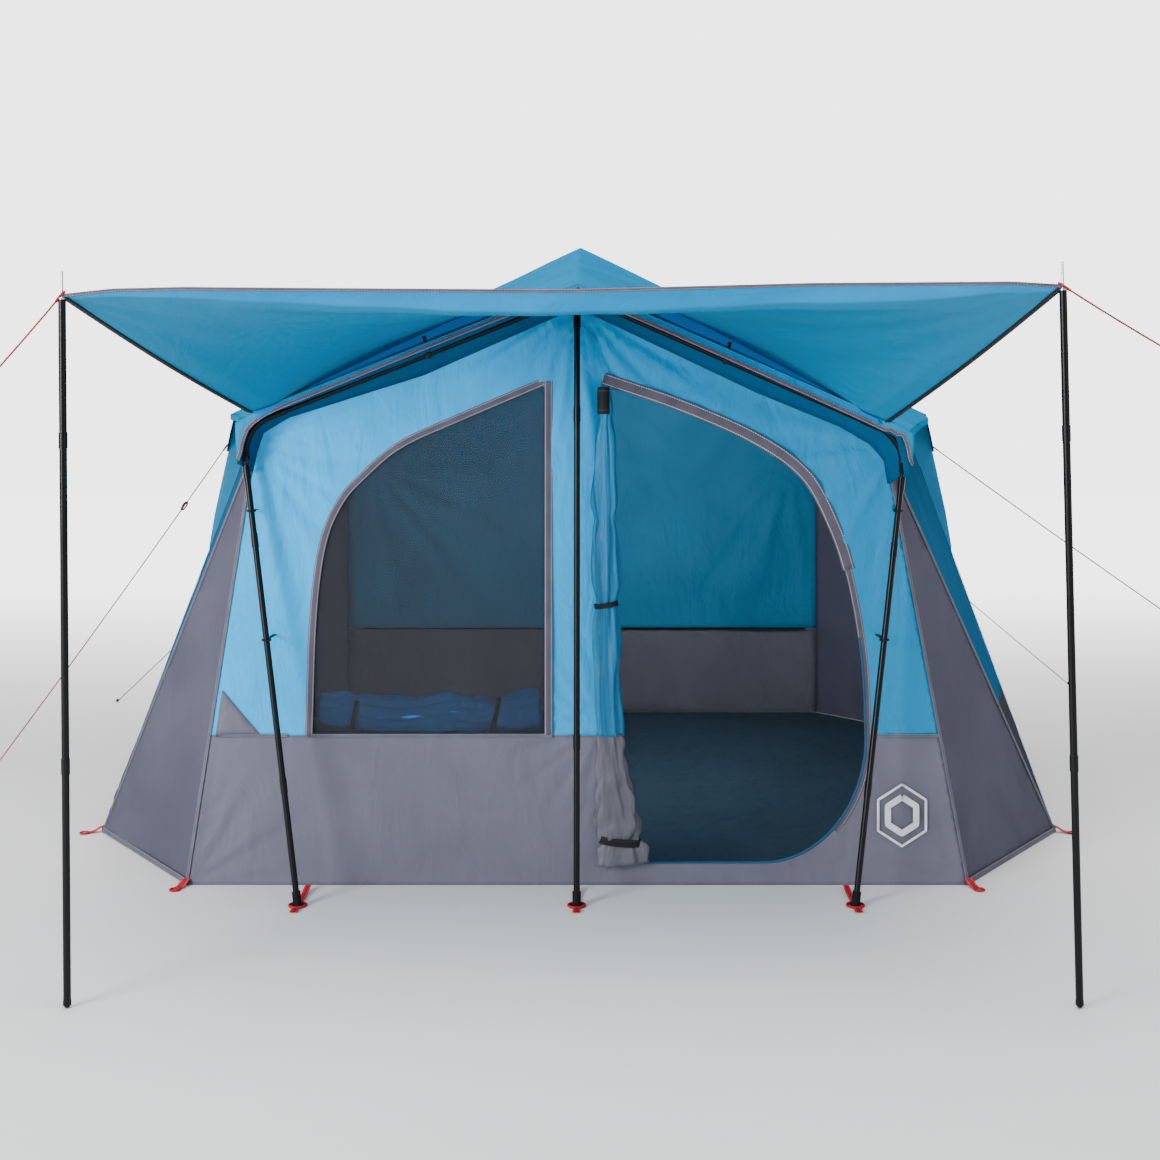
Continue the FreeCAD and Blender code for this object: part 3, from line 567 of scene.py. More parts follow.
def ribbon(name, points, normals, width, thick=0.0016, material=None, lift=0.0008,
           body="tent", wavy=0.0):
    """A flat tape along a line: a rounded strip that lies on the cloth's outer side."""
    p = np.asarray(points, float)
    n = np.asarray(normals, float)
    n = np.tile(n, (len(p), 1)) if n.ndim == 1 else n
    t = np.gradient(p, axis=0)
    t /= np.linalg.norm(t, axis=1)[:, None]
    side = np.cross(t, n)
    side /= np.linalg.norm(side, axis=1)[:, None]
    n = np.cross(side, t)
    run = np.concatenate([[0], np.cumsum(np.linalg.norm(np.diff(p, axis=0), axis=1))])
    if wavy:
        p = p + n * (wavy * (1 + np.sin(run * 70 + 2 * np.sin(run * 13))) / 2)[:, None]
    half = width / 2
    across = ((-1, 0), (-1, 0.6), (-0.9, 1), (0, 1.12), (0.9, 1), (1, 0.6), (1, 0))
    verts, uvs = [], []
    for i in range(len(p)):
        for a, h in across:
            verts.append(p[i] + side[i] * (a * half) + n[i] * (lift + h * thick))
            uvs.append((run[i], a))
    cols = len(across)
    faces = grid_faces(len(p), cols)
    faces += [(i * cols, (i + 1) * cols, (i + 1) * cols + cols - 1, i * cols + cols - 1)
              for i in range(len(p) - 1)]
    faces += [tuple(range(cols)), tuple(range((len(p) - 1) * cols + cols - 1,
                                              (len(p) - 1) * cols - 1, -1))]
    return new_piece(name, verts, faces, material, body, uvs=uvs)


def pipe(name, points, radius, material, body="tent", sides=10, taper=None):
    """A round tube along a line, with closed ends."""
    p = np.asarray(points, float)
    t = np.gradient(p, axis=0)
    t /= np.linalg.norm(t, axis=1)[:, None]
    up = unit(np.cross(t[0], (0.3, 0.2, 0.93)))
    verts, uvs, run = [], [], 0.0
    for i in range(len(p)):
        up = unit(up - t[i] * (up @ t[i]))
        right = np.cross(t[i], up)
        r = radius * (taper[i] if taper is not None else 1.0)
        run += np.linalg.norm(p[i] - p[i - 1]) if i else 0.0
        for k in range(sides):
            a = 2 * math.pi * k / sides
            verts.append(p[i] + (up * math.cos(a) + right * math.sin(a)) * r)
            uvs.append((run, k / sides * 2 * math.pi * r))
    faces = grid_faces(len(p), sides, wrap=True)
    faces += [tuple(range(sides))[::-1], tuple(range((len(p) - 1) * sides, len(p) * sides))]
    return new_piece(name, verts, faces, material, body, uvs=uvs)


# ---- guylines -----------------------------------------------------------------------------
GUYLINES = {
    "guyline_mid_left": ((-1.506, 0, 1.382), (-2.010, 0.041, 0.676), (-2.520, 0.086, 0.006)),
    "guyline_mid_right": ((1.506, 0, 1.382), (2.000, 0, 1.022), (2.495, 0, 0.678)),
    "guyline_rear_left": ((-1.086, 1.602, 1.390), (-1.800, 1.697, 0.686),
                          (-2.529, 1.796, 0.006)),
    "guyline_rear_right": ((1.086, 1.602, 1.400), (1.950, 1.975, 0.690), (2.822, 2.353, 0.006)),
    "guyline_awning_left": ((-1.294, -2.520, 1.772), (-1.376, -2.520, 1.674),
                            (-1.461, -2.520, 1.580)),
    "guyline_awning_right": ((1.240, -2.520, 1.800), (1.366, -2.520, 1.719),
                             (1.494, -2.520, 1.645)),
}
ROPE_R = 0.0025


def route_points(name, route):
    """Points on the smooth NURBS line through a route."""
    curve = bpy.data.curves.new(name + "_line", "CURVE")
    curve.dimensions, curve.resolution_u = "3D", 12
    spline = curve.splines.new("NURBS")
    spline.points.add(len(route) - 1)
    for point, place in zip(spline.points, route):
        point.co = (*place, 1.0)
    spline.order_u = 3
    spline.use_endpoint_u = True
    line = bpy.data.objects.new(name + "_line", curve)
    bpy.context.scene.collection.objects.link(line)
    mesh = bpy.data.meshes.new_from_object(line)
    points = np.array([tuple(v.co) for v in mesh.vertices])
    bpy.data.objects.remove(line)
    bpy.data.curves.remove(curve)
    bpy.data.meshes.remove(mesh)
    return points


def knot(name, centre, along, material):
    """A small overhand knot with a loop, at a rope's far end."""
    a = unit(along)
    side = unit(np.cross(a, (0.1, 0.9, 0.3)))
    up = np.cross(side, a)
    t = np.linspace(0, 2 * math.pi, 60)
    r = 0.0052
    turns = [np.asarray(centre) + side * (r * math.cos(2 * s)) + up * (r * math.sin(2 * s))
             + a * (0.006 * math.sin(3 * s)) for s in t]
    return pipe(name, turns, ROPE_R * 1.05, material, sides=8)


def make_guylines():
    """The six ropes, each with a knot at its far end."""
    for name, route in GUYLINES.items():
        points = route_points(name, route)
        material = MAT["rope"] if "mid_left" in name or "awning" in name else MAT["rope_dark"]
        rope = pipe(name + "_rope", points, ROPE_R, material, sides=10)
        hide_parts(name)
        end = points[-1] + unit(points[-1] - points[-2]) * 0.004
        end[2] = max(end[2], 0.009)
        tied = knot(name + "_knot", end, points[-1] - points[-2], material)
        for piece in (rope, tied):
            collapse(piece)


make_guylines()


# ---- cabin walls --------------------------------------------------------------------------
def corners(hand):
    """One half of the cabin's corner points."""
    return {
        "front_hem": (hand * FRONT_HEM, WALL_Y, 0), "rear_hem": (hand * REAR_HEM, BACK_Y, 0),
        "side_front": (hand * SIDE_X, -SIDE_Y, 0), "side_rear": (hand * SIDE_X, SIDE_Y, 0),
        "front_top": (hand * FRONT_TOP[hand][0], WALL_Y, FRONT_TOP[hand][1]),
        "rear_top": (hand * REAR_TOP[0], BACK_Y, REAR_TOP[1]),
        "mid_top": (hand * MID_TOP[0], 0, MID_TOP[1]),
    }


def cut_at(points, z, above):
    """The part of a flat polygon above or below a height."""
    out = []
    for a, b in zip(points, points[1:] + points[:1]):
        a, b = np.asarray(a, float), np.asarray(b, float)
        keep = (a[2] >= z) == above
        if keep:
            out.append(a)
        if (a[2] - z) * (b[2] - z) < 0:
            out.append(a + (b - a) * (z - a[2]) / (b[2] - a[2]))
    return out


def outward_of(points):
    """The normal of a wall's polygon that points away from the cabin's middle."""
    p = [np.asarray(q, float) for q in points]
    normal = unit(np.cross(p[1] - p[0], p[2] - p[0]))
    middle = sum(p) / len(p)
    return normal if normal @ (middle - np.array([0, 0, 0.7])) > 0 else -normal


def wall_relief(seed, size=0.30, depth=0.006, anchors=()):
    """Rolling folds, with fans from where the wall is pulled."""
    def relief(points):
        value = depth * soft_folds(points, seed, size)
        value = value + 0.4 * depth * soft_folds(points, seed + 50, size * 0.35)
        for k, (anchor, reach, count, height) in enumerate(anchors):
            value = value + rays(points, anchor, reach, count, seed + k, height)
        return value - depth * 0.5
    return relief


def door_loop():
    """The door's opening, in the front wall's plane."""
    top = smooth_line([(0.080, 1.608), (0.330, 1.522), (0.560, 1.420), (0.715, 1.310),
                       (0.800, 1.165), (0.862, 0.985), (0.908, 0.720), (0.920, 0.470)], 0.02)
    angle = np.linspace(0, math.pi / 2, 24)
    toe = np.column_stack([0.590 + 0.330 * np.cos(angle), 0.470 - 0.394 * np.sin(angle)])
    loop = np.vstack([top, toe[1:], [(0.080, 0.076)]])
    return np.column_stack([loop[:, 0], np.full(len(loop), WALL_Y), loop[:, 1]])


def window_loop():
    """The window's opening, in the front wall's plane."""
    side = smooth_line([(-0.105, 1.600), (-0.377, 1.484), (-0.560, 1.400), (-0.672, 1.308),
                        (-0.750, 1.220), (-0.805, 1.085), (-0.835, 0.850), (-0.848, SKIRT_Z)],
                       0.02)
    loop = np.vstack([side, [(-0.105, SKIRT_Z)]])
    return np.column_stack([loop[:, 0], np.full(len(loop), WALL_Y), loop[:, 1]])


def declare_sheet(verts, faces):
    """Work out a piece's area and the flat size it is cut from; nothing is done with them."""
    area = piece_area(verts, faces)
    width, length = (float(s) for s in sorted(np.ptp(verts, axis=0))[-2:])
    width = min(max(width, area / length * 1.02), area / length * 3.1)


def sewn(name, parts, material, node,
         thick=CLOTH_THICK, replaces=True):
    """One sheet from several cuts that are sewn edge to edge."""
    verts, faces = merged(parts)
    piece = new_piece(name, verts, faces, material)
    declare_sheet(verts, faces)
    if replaces:
        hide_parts(node)
    thicken(piece, thick)
    return collapse(piece)


def piece_area(verts, faces):
    """The area of a mesh's faces."""
    total = 0.0
    for f in faces:
        for k in range(1, len(f) - 1):
            a, b, c = verts[f[0]], verts[f[k]], verts[f[k + 1]]
            total += np.linalg.norm(np.cross(b - a, c - a)) / 2
    return float(total)


def gable_loop(y):
    """The outline of the front or back wall."""
    halves = {}
    for hand in (1, -1):
        if y < 0:
            half = [(FRONT_HEM, 0.0), FRONT_TOP[hand], ROUND[hand], SHOULDER[hand],
                    GABLE_MID[hand]]
        else:
            half = [(REAR_HEM, 0.0), REAR_TOP, REAR_SHOULDER]
        halves[hand] = [(hand * x, y, z) for x, z in half]
    return halves[1] + [(0.0, y, WALL_APEX_Z)] + halves[-1][::-1]


def notched(outline, opening, above):
    """Run an outline's edge along the skirt seam round an opening's part on that side."""
    part = [tuple(p) for p in cut_at([tuple(p) for p in opening], SKIRT_Z, above)]
    feet = [i for i, p in enumerate(part) if abs(p[2] - SKIRT_Z) < 1e-6]
    low, high = (f(feet, key=lambda i: part[i][0]) for f in (min, max))
    ring = part[low:] + part[:low]
    far = (high - low) % len(ring)
    path = max(ring[:far + 1], ring[:1] + ring[far:][::-1], key=len)
    for i, (a, b) in enumerate(zip(outline, outline[1:] + outline[:1])):
        level = abs(a[2] - SKIRT_Z) < 1e-6 and abs(b[2] - SKIRT_Z) < 1e-6
        if level and min(a[0], b[0]) < path[0][0] and path[-1][0] < max(a[0], b[0]):
            return outline[:i + 1] + (path if a[0] < b[0] else path[::-1]) + outline[i + 1:]
    return outline


def front_wall_relief():
    """The front wall's folds: pulled at both elbows and at the apex, puckered at its seams."""
    base = wall_relief(11, 0.34, 0.0050, (
        ((-1.03, WALL_Y, 1.40), 0.55, 17, 0.0040), ((1.03, WALL_Y, 1.40), 0.55, 15, 0.0040),
        ((0, WALL_Y, 1.86), 0.40, 24, 0.0070), ((0.07, WALL_Y, 0.5), 0.25, 18, 0.004),
        ((1.25, WALL_Y, 0), 0.5, 15, 0.003), ((-1.25, WALL_Y, 0), 0.5, 15, 0.003),
    ))
    apex = (0, WALL_Y, WALL_APEX_Z)
    left, right = ((hand * SHOULDER[hand][0], WALL_Y, SHOULDER[hand][1]) for hand in (-1, 1))
    seams = (
        (apex, right, 0.075, 0.085, 0.0050, 0.9), (apex, left, 0.090, 0.060, 0.0030, 0.9),
        ((0.02, WALL_Y, 0.2), (0.02, WALL_Y, 1.8), 0.11, 0.05, 0.0022, 0.7),
        ((-FRONT_HEM, WALL_Y, 0), (FRONT_HEM, WALL_Y, 0), 0.09, 0.05, 0.0030, 0.4),
        ((-1.04, WALL_Y, 1.38), (-1.25, WALL_Y, 0.0), 0.10, 0.06, 0.0030, 0.7),
        ((1.04, WALL_Y, 1.38), (1.25, WALL_Y, 0.0), 0.10, 0.06, 0.0030, -0.7),
        ((-1.15, WALL_Y, SKIRT_Z), (1.15, WALL_Y, SKIRT_Z), 0.12, 0.05, 0.0022, 0.5),
    )

    def relief(points):
        value = base(points)
        for k, (a, b, spacing, reach, height, slant) in enumerate(seams):
            value = value + puckers(points, a, b, spacing, reach, height, slant, 200 + k)
        return value

    return relief


def make_front_wall():
    """Blue above the seam and grey below it, each with its share of the door cut out."""
    relief, wall = front_wall_relief(), gable_loop(WALL_Y)
    door, window = door_loop(), window_loop()
    pinned = [closed(wall), closed(door), closed(window)]
    for above, name, colour, slot in ((True, "front_wall_blue", "wall", "wall_cloth"),
                                      (False, "front_wall_skirt", "skirt", "corner_cloth")):
        outline = [tuple(p) for p in cut_at(wall, SKIRT_Z, above)]
        outline = notched(outline, door, above)
        if above:
            outline = notched(outline, window, above)
        cloth = flat_sheet(outline, outward_of(outline), (), 0.015, relief, pinned)
        sewn(name, [cloth], MAT[colour], "front_wall")


make_front_wall()


def make_back_wall():
    """The back wall, seen from inside through the door: blue over a grey skirt."""
    loop = gable_loop(BACK_Y)
    relief = wall_relief(23, 0.30, 0.009, (
        ((-1.1, BACK_Y, 1.3), 0.9, 15, 0.006), ((1.1, BACK_Y, 1.3), 0.9, 15, 0.006),
        ((0, BACK_Y, 1.84), 0.7, 18, 0.006),
    ))
    for above, name, colour, slot in ((True, "back_wall_blue", "inside", "wall_cloth"),
                                      (False, "back_wall_skirt", "inside_grey", "corner_cloth")):
        outline = [tuple(p) for p in cut_at(loop, BACK_SKIRT_Z, above)]
        cloth = flat_sheet(outline, outward_of(outline), (), 0.026, relief, [closed(loop)])
        sewn(name, [cloth], MAT[colour], "back_wall")


make_back_wall()


def make_side_walls():
    """Each side: three triangles that meet at the side elbow, blue over a grey skirt, both darker
    than the front's cloth as painted shade.
    """
    for hand, side in ((-1, "left"), (1, "right")):
        c = corners(hand)
        triangles = [[c["front_top"], c["mid_top"], c["side_front"]],
                     [c["mid_top"], c["side_rear"], c["side_front"]],
                     [c["rear_top"], c["side_rear"], c["mid_top"]]]
        relief = wall_relief(31 + hand, 0.26, 0.005, (
            (c["mid_top"], 0.5, 14, 0.004), (c["side_front"], 0.5, 12, 0.004),
            (c["side_rear"], 0.5, 12, 0.004),
        ))
        for above, word, colour, slot in ((True, "blue", "side", "wall_cloth"),
                                          (False, "skirt", "side_grey_painted_shade", "corner_cloth")):
            cuts = [[tuple(p) for p in cut_at(t, SIDE_SKIRT_Z, above)] for t in triangles]
            pins = [closed(t) for t in triangles]
            parts = [flat_sheet(cut, outward_of(cut), (), 0.026, relief, [pin])
                     for cut, pin in zip(cuts, pins)]
            sewn(f"{side}_side_{word}", parts, MAT[colour], f"{side}_side_wall")


make_side_walls()


def make_corner_panels():
    """The four dark triangles across the cut corners."""
    for hand, side in ((-1, "left"), (1, "right")):
        c = corners(hand)
        for end in ("front", "rear"):
            loop = [c[f"{end}_top"], c[f"{end}_hem"], c[f"side_{end}"]]
            relief = wall_relief(41 + hand, 0.3, 0.006, (
                (c[f"{end}_top"], 0.7, 16, 0.004), (c[f"side_{end}"], 0.5, 12, 0.004),
            ))
            part = flat_sheet(loop, outward_of(loop), (), 0.024, relief)
            sewn(f"corner_panel_{end}_{side}", [part], MAT["dark"],
                             "corner_panels")


make_corner_panels()


def make_floor():
    """The groundsheet: an octagon with soft ripples that fade out at its edge."""
    loop = []
    for hand in (1, -1):
        c = corners(hand)
        names = ("front_hem", "side_front", "side_rear", "rear_hem")
        loop += [c[n] for n in (names if hand > 0 else names[::-1])]
    loop = [(x * 0.994, y * 0.994, 0.0012) for x, y, _ in loop]

    def relief(points):
        ripples = soft_folds(points, 61, 0.22, (1, 1, 1)) + soft_folds(points, 62, 0.08, (1, 1, 1))
        return 0.0022 * (1 + ripples * 0.5)

    part = flat_sheet(loop, (0, 0, 1), (), 0.03, relief)
    sewn("groundsheet", [part], MAT["floor"], "floor",
         thick=0.0008)


make_floor()


# ---- fly, ceiling and awning --------------------------------------------------------------
def cone_sheet(apex, rim, rings, folds, seed, power=1.0):
    """A roof from an apex down to a closed rim, with folds between."""
    rim = np.asarray(rim, float)
    cols = len(rim)
    rows = []
    for r in np.linspace(0, 1, rings)[1:]:
        rows.append(np.asarray(apex) + (rim - apex) * r ** power)
    verts = np.vstack(rows)
    share = np.repeat(np.linspace(0, 1, rings)[1:], cols)
    lift = folds * (soft_folds(verts, seed, 0.25, (1, 1, 0.5))
                    + 0.5 * soft_folds(verts, seed + 1, 0.09, (1, 1, 0.5)))
    verts[:, 2] += lift * np.sin(math.pi * np.clip(share, 0, 1)) ** 0.5
    verts = np.vstack([verts, [apex]])
    faces = grid_faces(rings - 1, cols, wrap=True)
    faces += [(len(verts) - 1, (j + 1) % cols, j) for j in range(cols)]
    return verts, [f[::-1] for f in faces]


def fly_rim(hand):
    """Half of the fly's eave, from the front tee round one side to the rear tee.

    Each entry is x, y, z and how far the cloth hangs down there. The right (1) side's
    elbows stand lower than the left's, and the eave follows them.
    """
    x_c, z_c = FLY_CORNER
    x_m, z_m = FLY_MID
    drop_c, drop_m = z_c - HOOD_Z, z_m - MID_HOOD_Z
    lower = 0.042 if hand > 0 else 0.006
    front = [
        (0.00, -GABLE_Y, GABLE_APEX_Z, 0.016), (0.30, -GABLE_Y, 1.800, 0.018),
        (0.60, -GABLE_Y, 1.683, 0.020), (0.84, -GABLE_Y, 1.590, 0.024),
        (0.930, -GABLE_Y, 1.554, 0.024), (0.985, -GABLE_Y, 1.531, 0.026),
        (1.020, -GABLE_Y, 1.515, 0.034), (1.044, -GABLE_Y, 1.503, 0.052),
        (1.060, -GABLE_Y, 1.494, 0.088), (1.069, -GABLE_Y, 1.489, 0.122),
        (x_c, -GABLE_Y + 0.006, z_c, drop_c), (x_c + 0.002, -GABLE_Y + 0.040, z_c, drop_c),
        (x_c + 0.006, -GABLE_Y + 0.110, z_c, drop_c - 0.02),
        (x_c + 0.018, -GABLE_Y + 0.170, z_c + 0.006, 0.070),
        (x_c + 0.040, -GABLE_Y + 0.250, z_c + 0.014, 0.030),
        (1.200, -1.050, 1.516, 0.022), (1.330, -0.600, 1.525, 0.022),
        (x_m - 0.040, -0.230, z_m, 0.030), (x_m - 0.012, -0.130, z_m, 0.080),
        (x_m, -0.070, z_m, drop_m), (x_m + 0.004, 0.0, z_m, drop_m),
    ]
    half = np.array(front + [(x, -y, z, d) for x, y, z, d in front[-2::-1]])
    fall = lower * np.clip(half[:, 0] / 0.95, 0, 1) * np.clip(np.abs(half[:, 1]) / 1.5, 0, 1)
    hood = half[:, 3] > 0.05
    half[:, 2] -= fall
    half[hood, 3] -= 0.6 * fall[hood]
    half[:, 0] *= np.where(np.abs(half[:, 1]) > 1.2, 1 - 0.35 * fall, 1)
    return half * (hand, 1, 1, 1)


def make_fly():
    """The outer roof in one sheet, with hoods hanging over the elbows."""
    rim = np.vstack([resample(fly_rim(1), 0.022), resample(fly_rim(-1), 0.022)[1:-1][::-1]])
    low = (rim[:, 0] > 0.05) & (rim[:, 0] < 0.98) & (rim[:, 1] < -1.58)
    rim[low, 3] += 0.012
    roof, faces = cone_sheet((0, 0, PEAK_Z), rim[:, :3], 60, 0.004, 71)
    cols = len(rim)
    edge_start = (60 - 2) * cols
    rows, levels = [], 6
    for k in range(1, levels + 1):
        lower = rim[:, :3].copy()
        share = k / levels
        lower[:, 2] -= rim[:, 3] * share
        flare = np.where(np.abs(lower[:, 1]) < 0.4, 0.034 * share, -0.010 * share ** 2)
        lower[:, 0] += np.sign(lower[:, 0]) * flare * (rim[:, 3] / 0.15)
        ripple = 0.0015 * np.sin(np.arange(cols) * 0.9) * share
        lower[:, 1] += np.sign(lower[:, 1]) * ripple * (np.abs(lower[:, 1]) > 1.5)
        rows.append(lower)
    start = len(roof)
    verts = np.vstack([roof] + rows)
    ring = [edge_start + j for j in range(cols)]
    for k in range(levels):
        below = [start + k * cols + j for j in range(cols)]
        faces += [(ring[j], ring[(j + 1) % cols], below[(j + 1) % cols], below[j])
                  for j in range(cols)]
        ring = below
    sewn("fly_sheet", [(verts, faces)], MAT["fly"], "fly")
    return rows[-1]


def ceiling_rim():
    """The inner roof's edge, along the tops of the walls."""
    halves = []
    for hand in (1, -1):
        tops = (GABLE_MID[hand], SHOULDER[hand], ROUND[hand], FRONT_TOP[hand])
        front = [(x, WALL_Y, z) for x, z in tops]
        back = [(REAR_TOP[0], BACK_Y, REAR_TOP[1]), (REAR_SHOULDER[0], BACK_Y, REAR_SHOULDER[1])]
        half = [(0, WALL_Y, WALL_APEX_Z), *front, (MID_TOP[0], 0, MID_TOP[1]), *back,
                (0, BACK_Y, WALL_APEX_Z)]
        halves.append(resample(np.array(half, float), 0.05) * (hand, 1, 1))
    return np.vstack([halves[0], halves[1][1:-1][::-1]])


def make_ceiling():
    """The breathable inner roof."""
    part = cone_sheet((0, 0, CEILING_Z), ceiling_rim(), 34, 0.006, 81)
    sewn("ceiling", [part], MAT["inside"], "inner_roof")


FLY_HEM = make_fly()
make_ceiling()


def awning_edge(s):
    """The awning's front edge: it rises a little out of the left corner."""
    left, right = np.array(AWNING_LEFT), np.array(AWNING_RIGHT)
    point = left + (right - left) * s
    point[1] += 0.030 * math.sin(math.pi * s)
    lift = np.interp(s, (0, 0.05, 0.12, 0.5, 0.75, 0.95, 1), (0, 13, 16, 2.5, 12, 9, 0))
    point[2] += lift / 1000
    return point


def awning_seam(s):
    """The awning's back edge, sewn to the fly on both sides of the ridge."""
    hand = 1 if s > 0.5 else -1
    corner = np.array(AWNING_BACK_RIGHT if hand > 0 else AWNING_BACK_LEFT)
    share = abs(2 * s - 1)
    x, y, z = (np.array(v) for v in zip(*AWNING_SEAM))
    at = math.sqrt(share ** 2 + 0.0004) * x[-1]
    point = np.array([hand * share * abs(corner[0]), np.interp(at, x, y), np.interp(at, x, z)])
    point[2] += (corner[2] - z[-1]) * share ** 2
    return point


def awning_point(s, t):
    """A point of the awning: s runs from left to right, t from the front edge to the seam.

    A little behind the front edge it is folded down along a line, and rises from there.
    """
    point = awning_edge(s) * (1 - t) + awning_seam(s) * t
    depth = np.interp(s, (0, 0.06, 0.12, 0.18, 0.3, 0.4, 0.5, 0.62, 0.74, 0.85, 0.93, 1),
                      (0, 2, 10, 24, 45, 57, 60, 58, 40, 32, 14, 0)) / 1000
    fold, soft = 0.115, 0.05
    down, back = t / fold, (1 - t) / (1 - fold)
    h = min(max(0.5 + 0.5 * (back - down) / soft, 0), 1)
    sag = back * (1 - h) + down * h - soft * h * (1 - h)
    point[2] -= depth * sag + 0.010 * math.sin(math.pi * t)
    return point


def make_awning():
    """The porch awning: one sheet that dips behind its front edge and rises to the gable."""
    across, deep = 170, 64
    depth = np.linspace(0, 1, deep) ** 1.35
    verts = np.array([awning_point(s, t) for t in depth for s in np.linspace(0, 1, across)])
    s = np.tile(np.linspace(0, 1, across), deep)
    t = np.repeat(depth, across)
    mask = np.sin(math.pi * s) ** 0.4 * np.sin(math.pi * t) ** 0.4
    left, right = np.array(AWNING_LEFT), np.array(AWNING_RIGHT)
    pull = rays_plan(verts, left, 1.1, 19, 3) + rays_plan(verts, right, 1.1, 19, 4)
    verts[:, 2] += mask * (0.004 * soft_folds(verts, 91, 0.3) + 0.005 * pull)
    verts[:, 2] += mask * 0.002 * np.sin(s * 61 + t * 9) * np.exp(-((t - 0.10) / 0.08) ** 2)
    faces = grid_faces(deep, across)
    sewn("awning_sheet", [(verts, faces)], MAT["awning"], "awning")
    return verts.reshape(deep, across, 3)


def rays_plan(points, anchor, reach, count, seed):
    """Folds on a near-level sheet that fan out from a corner."""
    draw = np.random.default_rng(seed)
    away = points[:, :2] - np.asarray(anchor)[:2]
    angle, r = np.arctan2(away[:, 1], away[:, 0]), np.linalg.norm(away, axis=1)
    return np.sin(count * angle + draw.uniform(0, 6)) * np.exp(-(r / reach) ** 2)


AWNING = make_awning()


def strip_between(name, upper, lower, material, node="fly"):
    """A strip of cloth between two lines with the same number of points."""
    upper, lower = np.asarray(upper, float), np.asarray(lower, float)
    verts = np.vstack([upper + (lower - upper) * k for k in np.linspace(0, 1, 5)])
    sewn(name, [(verts, grid_faces(5, len(upper)))], material, node,
         thick=0.001, replaces=False)


def evenly(points, count):
    """A line cut into a given number of points."""
    way = resample(np.array(points, float), 0.02)
    at, to = np.linspace(0, 1, len(way)), np.linspace(0, 1, count)
    return np.column_stack([np.interp(to, at, way[:, k]) for k in range(way.shape[1])])


def close_gables():
    """Front and back: the band under the awning's seam, darkened with painted shade and lit by a
    painted glow, and the lining behind the arms, darkened with painted shade.
    """
    share = np.linspace(0.03, 0.97, 60)
    for hand, side in ((-1, "left"), (1, "right")):
        rim = fly_rim(hand)[:8] * (hand, 1, 1, 1)
        upper = np.array([awning_seam(0.5 + hand * 0.5 * k) for k in share]) - (0, 0.004, 0.002)
        x = np.clip(np.abs(upper[:, 0]) + 0.012, 0, 1.03)
        hem = np.interp(x, rim[:, 0], rim[:, 2] - rim[:, 3])
        lower = np.column_stack([hand * x, np.full(len(x), -GABLE_Y - 0.004), hem])
        strip_between(f"gable_band_{side}", upper, lower, MAT["band"], "awning")
        elbow_x, bend_z, hinge_z = ELBOW[hand]
        edge = [(x, z - drop * 0.6) for x, _, z, drop in rim]
        edge += [(elbow_x + 0.008, bend_z - 0.045), (elbow_x + 0.015, bend_z - 0.085),
                 (elbow_x + 0.018, hinge_z - 0.010)]
        front = [(0, WALL_APEX_Z), GABLE_MID[hand], SHOULDER[hand], ROUND[hand], FRONT_TOP[hand],
                 (FRONT_TOP[hand][0] + 0.012, hinge_z - 0.03)]
        front = [(x - 0.012, z - 0.012) for x, z in front]
        rear = [(0, WALL_APEX_Z), REAR_SHOULDER, REAR_TOP]
        for word, end, wall_y, wall in (("front", -1, WALL_Y, front), ("rear", 1, BACK_Y, rear)):
            lines = []
            for line_xz, y in ((edge, end * (GABLE_Y - 0.010)), (wall, wall_y + end * 0.004)):
                xz = evenly(line_xz, 50)
                lines.append(np.column_stack([hand * xz[:, 0], np.full(50, y), xz[:, 1]]))
            strip_between(f"gable_lining_{word}_{side}", *lines, MAT["lining"])


def make_side_gussets():
    """The blue gussets between the cabin's sides and the hoods over the side legs, brightened by a
    painted glow.
    """
    def wall(z):
        return MID_TOP[0] + (SIDE_X - MID_TOP[0]) * (1 - z / MID_TOP[1])

    def leg(z):
        return 1.462 + 0.350 * (1 - z / 1.376)

    for hand, side in ((-1, "left"), (1, "right")):
        loop = [(wall(1.40) - 0.03, 1.50), (1.443, 1.50), (1.472, 1.372), (leg(1.12), 1.12),
                (leg(0.98) - 0.012, 0.98), (wall(0.78), 0.78), (wall(1.0) - 0.02, 1.0),
                (wall(1.38) - 0.03, 1.38)]
        loop = [(hand * x, -0.062, z) for x, z in loop]
        cloth = flat_sheet(loop, (0, -1, 0), (), 0.015)
        sewn(f"side_gusset_{side}", [cloth], MAT["gusset"], f"{side}_side_wall",
             thick=0.001, replaces=False)


close_gables()
make_side_gussets()


